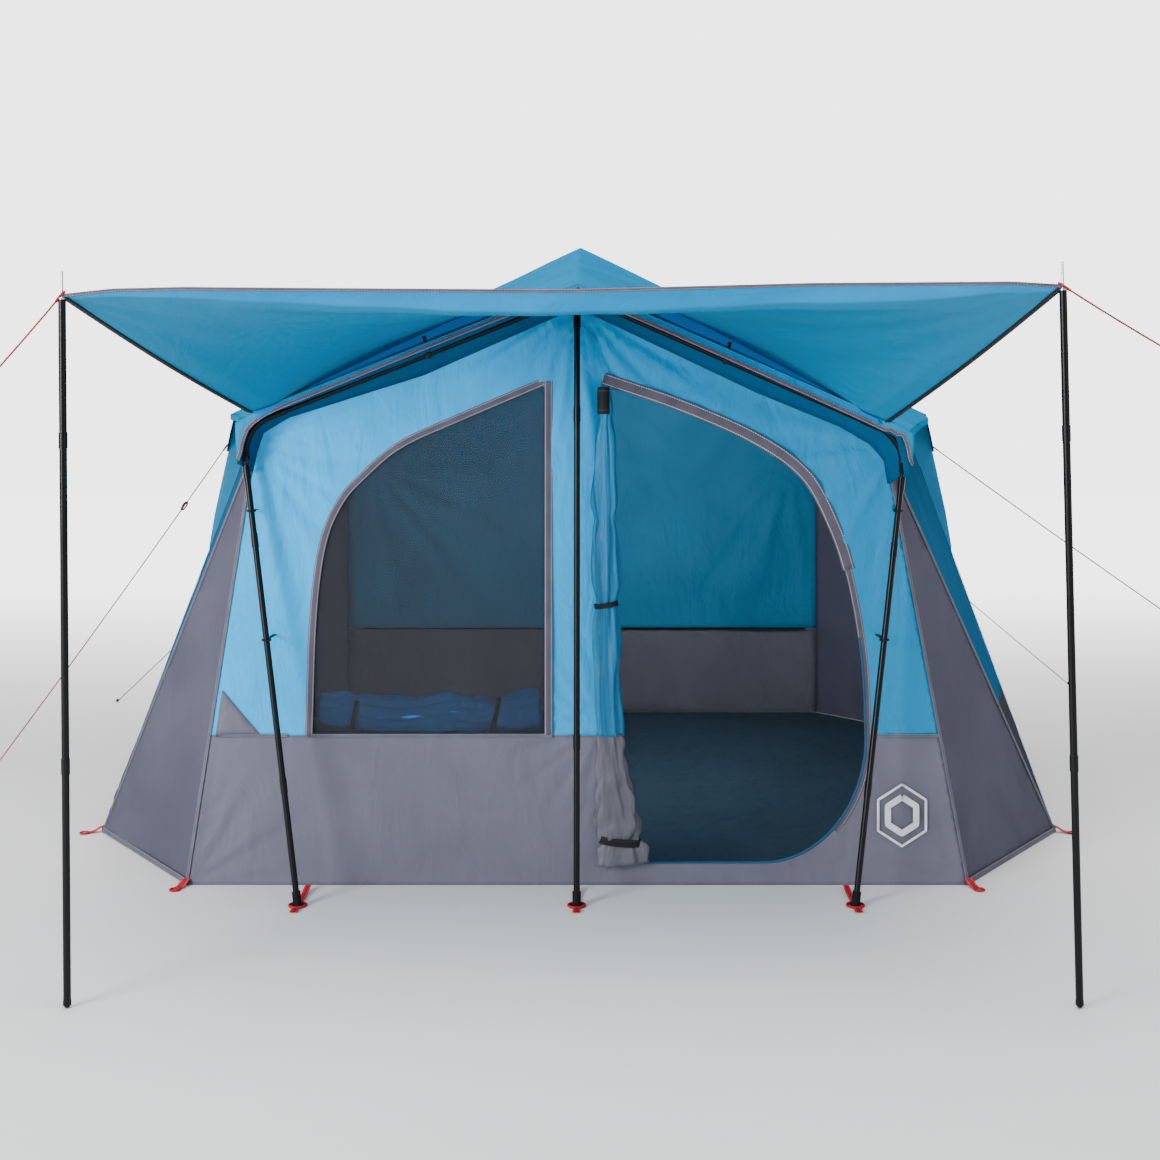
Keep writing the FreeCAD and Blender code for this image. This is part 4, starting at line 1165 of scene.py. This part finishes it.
# ---- edge tapes and seams -----------------------------------------------------------------
def lay_tapes():
    """The trims, seams and hems that show."""
    out = np.array([0, -1.0, 0])
    window, door = window_loop(), door_loop()
    pieces = [
        ribbon("window_trim_arch", inset(window[:-1], -0.010), out, 0.024,
               material=MAT["trim"]),
        ribbon("window_trim_post", line((-0.092, WALL_Y, SKIRT_Z), (-0.092, WALL_Y, 1.612)), out,
               0.026, material=MAT["trim"]),
        ribbon("window_sill_seam", line((-0.86, WALL_Y, SKIRT_Z), (-0.08, WALL_Y, SKIRT_Z)), out,
               0.012, material=MAT["seam_grey"]),
    ]
    back_seam = line((-1.165, BACK_Y - 0.018, BACK_SKIRT_Z), (1.165, BACK_Y - 0.018, BACK_SKIRT_Z))
    pieces.append(ribbon("back_wall_seam", back_seam, out, 0.010, material=MAT["black_tape"]))
    head = len([p for p in door if p[2] > 1.0])
    pieces.append(ribbon("door_trim_head", inset(door[:head], 0.012), out, 0.040,
                         material=MAT["trim"], wavy=0.004))
    pieces.append(ribbon("door_trim_jamb", inset(door[head - 2:-12], 0.010), out, 0.022,
                         material=MAT["trim"]))
    pieces.append(ribbon("door_piping", inset(door[head + 10:], 0.003), out, 0.007,
                         thick=0.003, material=MAT["piping"]))
    for hand, side in ((-1, "left"), (1, "right")):
        c = {k: np.array(v, float) for k, v in corners(hand).items()}
        pieces += seam_set(side, c)
        left, right = sorted((hand * 0.926, hand * FRONT_HEM * 0.925))
        pieces.append(ribbon(f"skirt_seam_{side}",
                             line((left, WALL_Y, SKIRT_Z), (right, WALL_Y, SKIRT_Z)),
                             out, 0.010, material=MAT["seam_grey"]))
        edge = AWNING[:, 0 if hand < 0 else -1]
        normal = np.array([0, 0, 1.0])
        pieces.append(ribbon(f"awning_side_tape_{side}", edge, normal, 0.018,
                             material=MAT["black_tape"], lift=-0.002, thick=0.003))
    pieces.append(ribbon("awning_front_tape", AWNING[0], np.array([0, -1.0, 0.15]), 0.009,
                         thick=0.003, lift=-0.0005, material=MAT["trim"]))
    for piece in pieces:
        if piece.name.startswith("awning"):
            collapse(piece)
        else:
            collapse(piece)


def line(a, b, step=0.03):
    """Points from a to b."""
    return resample(np.array([a, b], float), step)


def inset(loop, distance):
    """A line moved sideways within the wall's plane."""
    p = np.asarray(loop, float)
    t = np.gradient(p, axis=0)
    t /= np.linalg.norm(t, axis=1)[:, None]
    return p + np.cross(t, (0, 1.0, 0)) * distance


def seam_set(side, c):
    """The seams along one side's panel edges."""
    rows = (
        ("front_corner", "front_top", "front_hem", "seam_grey"),
        ("front_wing", "front_top", "side_front", "seam_grey"),
        ("mid_front", "mid_top", "side_front", "seam"),
        ("mid_rear", "mid_top", "side_rear", "seam"),
        ("rear_wing", "rear_top", "side_rear", "seam_grey"),
        ("rear_corner", "rear_top", "rear_hem", "seam_grey"),
    )
    made = []
    for name, a, b, material in rows:
        middle = (c[a] + c[b]) / 2
        normal = unit((middle[0], middle[1], 0.3))
        if name == "front_corner":
            normal = unit((middle[0] * 0.4, -1, 0.1))
        made.append(ribbon(f"seam_{name}_{side}", line(c[a], c[b]), normal, 0.012,
                           thick=0.0012, material=MAT[material]))
    hem = [c["front_hem"], c["side_front"], c["side_rear"], c["rear_hem"]]
    for k, (a, b) in enumerate(zip(hem, hem[1:])):
        lift = np.array([0, 0, 0.012])
        flat = b - a
        normal = unit((abs(flat[1]) * np.sign(a[0]), -flat[0] * np.sign(a[0]), 0))
        if normal @ (a + b) < 0:
            normal = -normal
        made.append(ribbon(f"hem_{side}_{k}", line(a + lift, b + lift), normal, 0.020,
                           material=MAT["seam_grey"]))
    return made


lay_tapes()


# ---- window net, rolled flap and rolled door ----------------------------------------------
def make_net():
    """The insect net behind the window."""
    loop = window_loop()
    centre = loop.mean(0)
    loop = centre + (loop - centre) * 1.012
    loop[:, 1] = WALL_Y + 0.004

    def relief(points):
        return 0.004 * soft_folds(points, 101, 0.3)

    part = flat_sheet(loop, (0, -1, 0), (), 0.03, relief)
    sewn("window_net", [part], MAT["net"], "window_mesh")


def bundle(name, stations, material, seed, sides=44, creases=9, depth=0.16,
           ties=()):
    """A roll of bunched cloth along a line of (centre, half width, half depth) stations."""
    draw = np.random.default_rng(seed)
    centres = smooth_line([s[0] for s in stations], 0.012)
    at = np.linspace(0, 1, len(centres))
    knots = np.linspace(0, 1, len(stations))
    wide = np.interp(at, knots, [s[1] for s in stations])
    deep = np.interp(at, knots, [s[2] for s in stations])
    t = np.gradient(centres, axis=0)
    t /= np.linalg.norm(t, axis=1)[:, None]
    out = np.array([0, -1.0, 0])
    across = np.cross(t, out)
    across /= np.linalg.norm(across, axis=1)[:, None]
    phase = draw.uniform(0, 6.3, 4)
    verts = []
    for i, centre in enumerate(centres):
        pinch = 1.0
        for tie in ties:
            pinch -= 0.28 * math.exp(-((at[i] - tie) / 0.03) ** 2)
        for k in range(sides):
            a = 2 * math.pi * k / sides
            wave = math.sin(creases * a + phase[0] + 5 * at[i] + 1.3 * math.sin(9 * at[i]))
            wave += 0.6 * math.sin((creases * 2 + 1) * a + phase[1] - 11 * at[i])
            wave += 0.5 * math.sin(3 * a + phase[2] + 14 * at[i])
            r = pinch * (1 + depth * wave * 0.5)
            r *= 1 + 0.06 * math.sin(31 * at[i] + phase[3] + 2 * a)
            verts.append(centre + across[i] * (math.cos(a) * wide[i] * r)
                         + out * (math.sin(a) * deep[i] * r))
    faces = grid_faces(len(centres), sides, wrap=True)
    faces += [tuple(range(sides))[::-1],
              tuple(range((len(centres) - 1) * sides, len(centres) * sides))]
    piece = new_piece(name, verts, faces, material)
    collapse(piece)
    return piece


def loop_tie(name, centre, wide, deep, material, tilt=0.0, width=0.016, vertical=True):
    """A tape tied round a roll."""
    a = np.linspace(0, 2 * math.pi, 40)
    c = np.asarray(centre, float)
    if vertical:
        p = np.column_stack([c[0] + wide * np.cos(a), c[1] - deep * np.sin(a),
                             c[2] + tilt * np.cos(a)])
    else:
        p = np.column_stack([c[0] + tilt * np.cos(a), c[1] - deep * np.sin(a),
                             c[2] + wide * np.cos(a)])
    normals = p - c
    normals /= np.linalg.norm(normals, axis=1)[:, None]
    piece = ribbon(name, p, normals, width, thick=0.002, lift=0.0, material=material)
    collapse(piece)
    return piece


def make_door_roll():
    """The open door, rolled up to its hinge side: blue above, grey and flared below."""
    y = WALL_Y - 0.034
    upper = [((0.090, y, 1.595), 0.014, 0.012), ((0.090, y, 1.48), 0.032, 0.022),
             ((0.090, y, 1.20), 0.038, 0.026), ((0.092, y, 0.90), 0.040, 0.027),
             ((0.098, y, 0.62), 0.038, 0.028), ((0.104, y, 0.485), 0.037, 0.028)]
    lower = [((0.104, y, 0.490), 0.036, 0.028), ((0.112, y, 0.36), 0.043, 0.028),
             ((0.124, y, 0.24), 0.056, 0.028), ((0.136, y, 0.14), 0.070, 0.026),
             ((0.142, y, 0.076), 0.074, 0.022)]
    top = bundle("door_roll_upper", upper, MAT["roll"], 111, creases=7,
                 depth=0.32, ties=(0.10, 0.38, 0.62))
    low = bundle("door_roll_lower", lower, MAT["roll_grey"], 112,
                 creases=7, depth=0.30, ties=(0.82,))
    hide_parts("door_roll")
    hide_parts("door_roll")
    loop_tie("door_tie_top", (0.084, y, 1.548), 0.018, 0.020, MAT["black_tape"], 0.0, 0.085)
    loop_tie("door_tie_mid", (0.092, y, 0.90), 0.036, 0.027, MAT["black_tape"], 0.006)
    loop_tie("door_tie_low", (0.136, y, 0.150), 0.064, 0.028, MAT["black_tape"], -0.006, 0.024)


def make_window_flap():
    """The window's storm flap, gathered along the sill and tied."""
    y = WALL_Y + 0.036
    z = SKIRT_Z + 0.062
    stations = [((-0.828, y, z + 0.02), 0.045, 0.020), ((-0.70, y, z + 0.012), 0.056, 0.024),
                ((-0.56, y, z - 0.004), 0.050, 0.026), ((-0.40, y, z + 0.004), 0.056, 0.026),
                ((-0.27, y, z - 0.002), 0.050, 0.024), ((-0.118, y, z + 0.016), 0.060, 0.020)]
    flap = bundle("window_flap_roll", stations, MAT["flap"], 121,
                  creases=5, depth=0.30, ties=(0.16, 0.78))
    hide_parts("window_flap")
    for k, x in enumerate((-0.715, -0.262)):
        loop_tie(f"window_flap_tie_{k}", (x, y, z + 0.002), 0.048, 0.026, MAT["black_tape"],
                 0.01, 0.014, vertical=False)


make_net()
make_door_roll()
make_window_flap()


# ---- webbing on the ground ----------------------------------------------------------------
def make_peg_loops():
    """Red webbing tabs at the base's corners, and a strap at each foot."""
    made = []
    down = 0.0
    for hand, side in ((-1, "left"), (1, "right")):
        c = {k: np.array(v, float) for k, v in corners(hand).items()}
        ways = {"front_hem": (0.35 * hand, -1, 0), "rear_hem": (0.35 * hand, 1, 0),
                "side_front": (hand, -0.4, 0), "side_rear": (hand, 0.4, 0)}
        for name, way in ways.items():
            start, way = c[name], unit(way)
            path = [start + way * d + np.array([0, 0, h]) for d, h in
                    ((0.0, 0.020), (0.012, 0.015), (0.028, 0.006), (0.046, 0.0032))]
            made.append(ribbon(f"peg_tab_{name}_{side}", smooth_line(path, 0.006),
                               (0, 0, 1.0), 0.028, material=MAT["red_tape"],
                               lift=down))
            ring = [start + way * 0.062 + np.array([math.cos(a), math.sin(a), 0]) * 0.0155
                    + np.array([0, 0, 0.0035]) for a in np.linspace(0, 2 * math.pi, 33)]
            made.append(pipe(f"peg_rope_ring_{name}_{side}", ring, 0.0034, MAT["red_tape"],
                             sides=8))
    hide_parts("peg_loops")
    for name in ("front_left", "front_centre", "front_right", "rear_left", "rear_centre",
                 "rear_right", "mid_left", "mid_right"):
        made += foot_strap(name)
    for piece in made:
        collapse(piece)


def foot_strap(name):
    """The red strap from the hem round one foot."""
    low, high = (np.array(v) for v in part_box(f"{name}_foot"))
    foot = np.array([(low[0] + high[0]) / 2, (low[1] + high[1]) / 2, 0.0])
    sideways = name.startswith("mid")
    way = np.array([np.sign(foot[0]), 0, 0]) if sideways else np.array([0, np.sign(foot[1]), 0])
    foot = foot - way * 0.004
    back = 0.055 if sideways else 0.165
    hem = [foot - way * d + np.array([0, 0, h]) for d, h in
           ((back, 0.014), (back * 0.66, 0.006), (0.030, 0.0032))]
    tail = [foot + way * d + np.array([0, 0, h]) for d, h in
            ((0.024, 0.0034), (0.048, 0.0042), (0.070, 0.0034))]
    collar = [foot + np.array([math.cos(a), math.sin(a), 0]) * 0.0255 + np.array([0, 0, 0.0040])
              for a in np.linspace(0, 2 * math.pi, 41)]
    return [
        ribbon(f"foot_strap_{name}", smooth_line(hem, 0.01), (0, 0, 1.0), 0.020,
               material=MAT["red_tape"], lift=0.0),
        ribbon(f"foot_tail_{name}", smooth_line(tail, 0.008), (0, 0, 1.0), 0.024,
               material=MAT["red_tape"], lift=0.0),
        pipe(f"foot_collar_{name}", collar, 0.0038, MAT["red_tape"], sides=8),
    ]


make_peg_loops()


# ---- small fittings -----------------------------------------------------------------------
def make_fly_tapes():
    """The grey tape along the fly's hem, and the straps that hold it to the gable arms."""
    pieces = []
    hem, cols = FLY_HEM, len(FLY_HEM)
    half = cols // 2
    front = [j for j in range(cols) if hem[j][1] < -1.40]
    right = sorted((j for j in front if hem[j][0] >= 0 and j <= half), key=int)
    left = sorted((j for j in front if hem[j][0] < 0), key=lambda j: -j)
    for side, order in (("right", right), ("left", left)):
        p = hem[order]
        normal = np.where(p[:, 1:2] < -1.57, [[0, -1.0, 0]],
                          [[np.sign(p[-1, 0]), -0.15, 0]])
        pieces.append(ribbon(f"fly_front_tape_{side}", p + (0, 0, 0.004), normal, 0.013,
                             thick=0.002, material=MAT["trim"]))
    for piece in pieces:
        collapse(piece)
    for hand, side in ((-1, "left"), (1, "right")):
        low, high = (np.array(v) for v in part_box(f"front_{side}_gable_arm"))
        x = hand * 0.47
        hinge_x, hinge_z = GABLE_HINGE
        share = (abs(x) - hinge_x) / (ELBOW[hand][0] - hinge_x)
        z = hinge_z + (ELBOW[hand][1] - hinge_z) * share
        y = (low[1] + high[1]) / 2
        a = np.linspace(-0.3, 2 * math.pi - 0.3, 28)
        p = np.column_stack([np.full(len(a), x), y + 0.0125 * np.sin(a), z + 0.0125 * np.cos(a)])
        n = p - (x, y, z)
        ribbon(f"gable_tie_{side}", p, n / np.linalg.norm(n, axis=1)[:, None], 0.016,
               thick=0.0015, lift=0, material=MAT["black_tape"], body=f"front_{side}_gable")
        strap = ribbon(f"gable_strap_{side}",
                       line((x, y - 0.014, z + 0.012), (x + hand * 0.01, -GABLE_Y + 0.004,
                                                       z + 0.055), 0.01),
                       (hand * 0.3, -0.6, 0.5), 0.014, material=MAT["black_tape"])
        collapse(strap)


def make_badges():
    """Plain patches: a hexagon by the door, and a small triangle by the window."""
    x, z, r = 1.038, 0.224, 0.088
    hexagon = [(x + r * math.sin(k * math.pi / 3), WALL_Y - 0.004, z + r * 1.12
                * math.cos(k * math.pi / 3)) for k in range(7)]
    ring = ribbon("badge_ring", resample(np.array(hexagon), 0.02), (0, -1, 0), 0.008,
                  material=MAT["badge"], thick=0.0008)
    small = [(x + 0.052 * math.sin(k * math.pi / 3), WALL_Y - 0.004,
              z + 0.058 * math.cos(k * math.pi / 3)) for k in range(7)]
    core = ribbon("badge_core", resample(np.array(small), 0.012), (0, -1, 0), 0.020,
                  material=MAT["badge"], thick=0.0008)
    patch = [(-1.155, WALL_Y - 0.004, SKIRT_Z + 0.006), (-1.015, WALL_Y - 0.004, SKIRT_Z + 0.006),
             (-1.135, WALL_Y - 0.004, SKIRT_Z + 0.145)]
    cloth = flat_sheet(patch, (0, -1, 0), (), 0.02)
    sewn("corner_patch", [cloth], MAT["skirt"], "front_wall",
         thick=0.001, replaces=False)
    for piece in (ring, core):
        collapse(piece)


def make_leg_clips():
    """Small clips that hold the cabin's seams to the front and rear legs."""
    for end, y_side in (("front", -1), ("rear", 1)):
        for hand, side in ((-1, "left"), (1, "right")):
            hinge = np.array((hand * ELBOW[hand][0], y_side * 1.55, ELBOW[hand][2]))
            foot = np.array((hand * 0.850, y_side * 1.72, 0.0))
            for k, z in enumerate((1.20, 0.80)):
                at = foot + (hinge - foot) * (z / hinge[2])
                a = np.linspace(0.4, 2 * math.pi - 0.4, 26)
                hook = np.column_stack([at[0] + 0.0125 * np.sin(a),
                                        at[1] + y_side * 0.0125 * np.cos(a) * -1,
                                        np.full(len(a), z)])
                clip = pipe(f"leg_clip_{end}_{side}_{k}", hook, 0.0032, MAT["moulding"],
                            sides=8)
                wall = at.copy()
                wall[1] = y_side * 1.502
                strap = ribbon(f"leg_clip_strap_{end}_{side}_{k}",
                               line(at - (0, y_side * 0.014, 0), wall, 0.01),
                               (0, 0, 1.0), 0.014, material=MAT["black_tape"])
                collapse(clip)
                collapse(strap)


def make_runners():
    """The rope tensioners: flat sliders with the rope threaded through."""
    first = None
    for name, share in (("guyline_mid_left", 0.17), ("guyline_rear_right", 0.26)):
        start, bend, end = (np.array(p) for p in GUYLINES[name])
        way = unit(bend - start)
        at = start + way * share * np.linalg.norm(end - start)
        side = unit(np.cross(way, (0, 1, 0)))
        loop = [at + way * (0.020 * math.cos(a)) + side * (0.007 * math.sin(a))
                for a in np.linspace(0, 2 * math.pi, 30)]
        body = pipe(f"runner_{name}", loop, 0.0034, MAT["moulding"], sides=8)
        first = first or body
        collapse(body)
    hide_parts("guyline_runners")


def make_rope_loops():
    """The webbing loops where the ropes leave the fly, and the red loops on the awning tips."""
    for name, route in GUYLINES.items():
        start, bend = np.array(route[0]), np.array(route[1])
        way = unit(bend - start)
        side = unit(np.cross(way, (0, 0, 1)))
        low = start - way * 0.012
        loop = [low + way * (0.018 * math.sin(a)) + side * (0.006 * math.cos(a))
                for a in np.linspace(0, 2 * math.pi, 26)]
        red = "awning" in name or "mid" in name
        tape = pipe(f"loop_{name}", loop, 0.0026, MAT["red_tape" if red else "black_tape"],
                    sides=8)
        collapse(tape)


make_fly_tapes()
make_badges()
make_leg_clips()
make_runners()
make_rope_loops()


# ---- finishes of the CAD's own parts ------------------------------------------------------
def paint_cad():
    """Give every carried-over CAD node its material."""
    for name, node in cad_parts.items():
        if name.endswith(("_elbow", "_tee")):
            material = MAT["bracket"]
        elif name.endswith("_foot"):
            material = MAT["rubber"]
        elif name.startswith("hub"):
            material = MAT["moulding"]
        elif "eyelet" in name or "spike" in name:
            material = MAT["steel"]
        else:
            material = MAT["paint"]
        node.data.materials.clear()
        node.data.materials.append(material)


paint_cad()


# ---- floor, light and finish --------------------------------------------------------------
def make_stage():
    """A plain pale floor under soft light."""
    size, z = 30.0, -0.0005
    mesh = bpy.data.meshes.new("studio_floor")
    mesh.from_pydata([(-size, -size, z), (size, -size, z), (size, size, z), (-size, size, z)],
                     [], [(0, 1, 2, 3)])
    floor = bpy.data.objects.new("studio_floor", mesh)
    bpy.context.scene.collection.objects.link(floor)
    pale = Nodes("studio_white")
    where = pale.add("ShaderNodeTexCoord").outputs["Object"]
    speck = pale.noise(where, 3.0)
    pale.link(pale.colours(speck, (0.90, 0.90, 0.90, 1), (0.92, 0.92, 0.92, 1)),
              pale.shader.inputs["Base Color"])
    pale.shader.inputs["Roughness"].default_value = 0.9
    split = pale.add("ShaderNodeSeparateXYZ")
    pale.link(where, split.inputs["Vector"])
    glow = pale.add("ShaderNodeMapRange", interpolation_type="SMOOTHSTEP")
    for key, value in (("From Min", 0.0), ("From Max", 9.0), ("To Min", 0.0), ("To Max", 3.0)):
        glow.inputs[key].default_value = value
    pale.link(split.outputs["Y"], glow.inputs["Value"])
    pale.shader.inputs["Emission Color"].default_value = (1, 1, 1, 1)
    pale.link(glow.outputs["Result"], pale.shader.inputs["Emission Strength"])
    mesh.materials.append(pale.material)


def area_light(name, place, target, size, power, colour=(1, 1, 1)):
    """A soft rectangular light that the camera doesn't see."""
    light = bpy.data.lights.new(name, "AREA")
    light.shape, light.size, light.energy, light.color = "DISK", size, power, colour
    lamp = bpy.data.objects.new(name, light)
    lamp.location = place
    lamp.rotation_euler = (Vector(target) - Vector(place)).to_track_quat("-Z", "Y").to_euler()
    lamp.visible_camera = False
    bpy.context.scene.collection.objects.link(lamp)


def make_lights():
    """A key light at the front left, a fill at the right, a top light and a glow inside."""
    area_light("key", (-4.8, -7.0, 2.3), (0, -1, 0.9), 2.6, 520)
    area_light("fill", (5.5, -6.0, 3.0), (0, -1, 0.8), 4.0, 60)
    area_light("top", (0, -3.0, 7.0), (0, -1.5, 1.0), 5.0, 360)
    area_light("cabin_glow", (0.1, -0.80, 1.62), (0.15, 1.5, 0.6), 0.6, 33)
    world = bpy.data.worlds.new("studio")
    world.use_nodes = True
    tree = world.node_tree
    background = tree.nodes["Background"]
    background.inputs["Color"].default_value = (1, 1, 1, 1)
    where = tree.nodes.new("ShaderNodeTexCoord")
    facing = tree.nodes.new("ShaderNodeVectorMath")
    facing.operation = "DOT_PRODUCT"
    facing.inputs[1].default_value = (0, 1, 0)
    tree.links.new(where.outputs["Generated"], facing.inputs[0])
    spread = tree.nodes.new("ShaderNodeMapRange")
    spread.interpolation_type = "SMOOTHSTEP"
    for key, value in (("From Min", 0.70), ("From Max", 0.88), ("To Min", 0.55),
                       ("To Max", 3.6)):
        spread.inputs[key].default_value = value
    tree.links.new(facing.outputs["Value"], spread.inputs["Value"])
    tree.links.new(spread.outputs["Result"], background.inputs["Strength"])
    bpy.context.scene.world = world


make_stage()
make_lights()
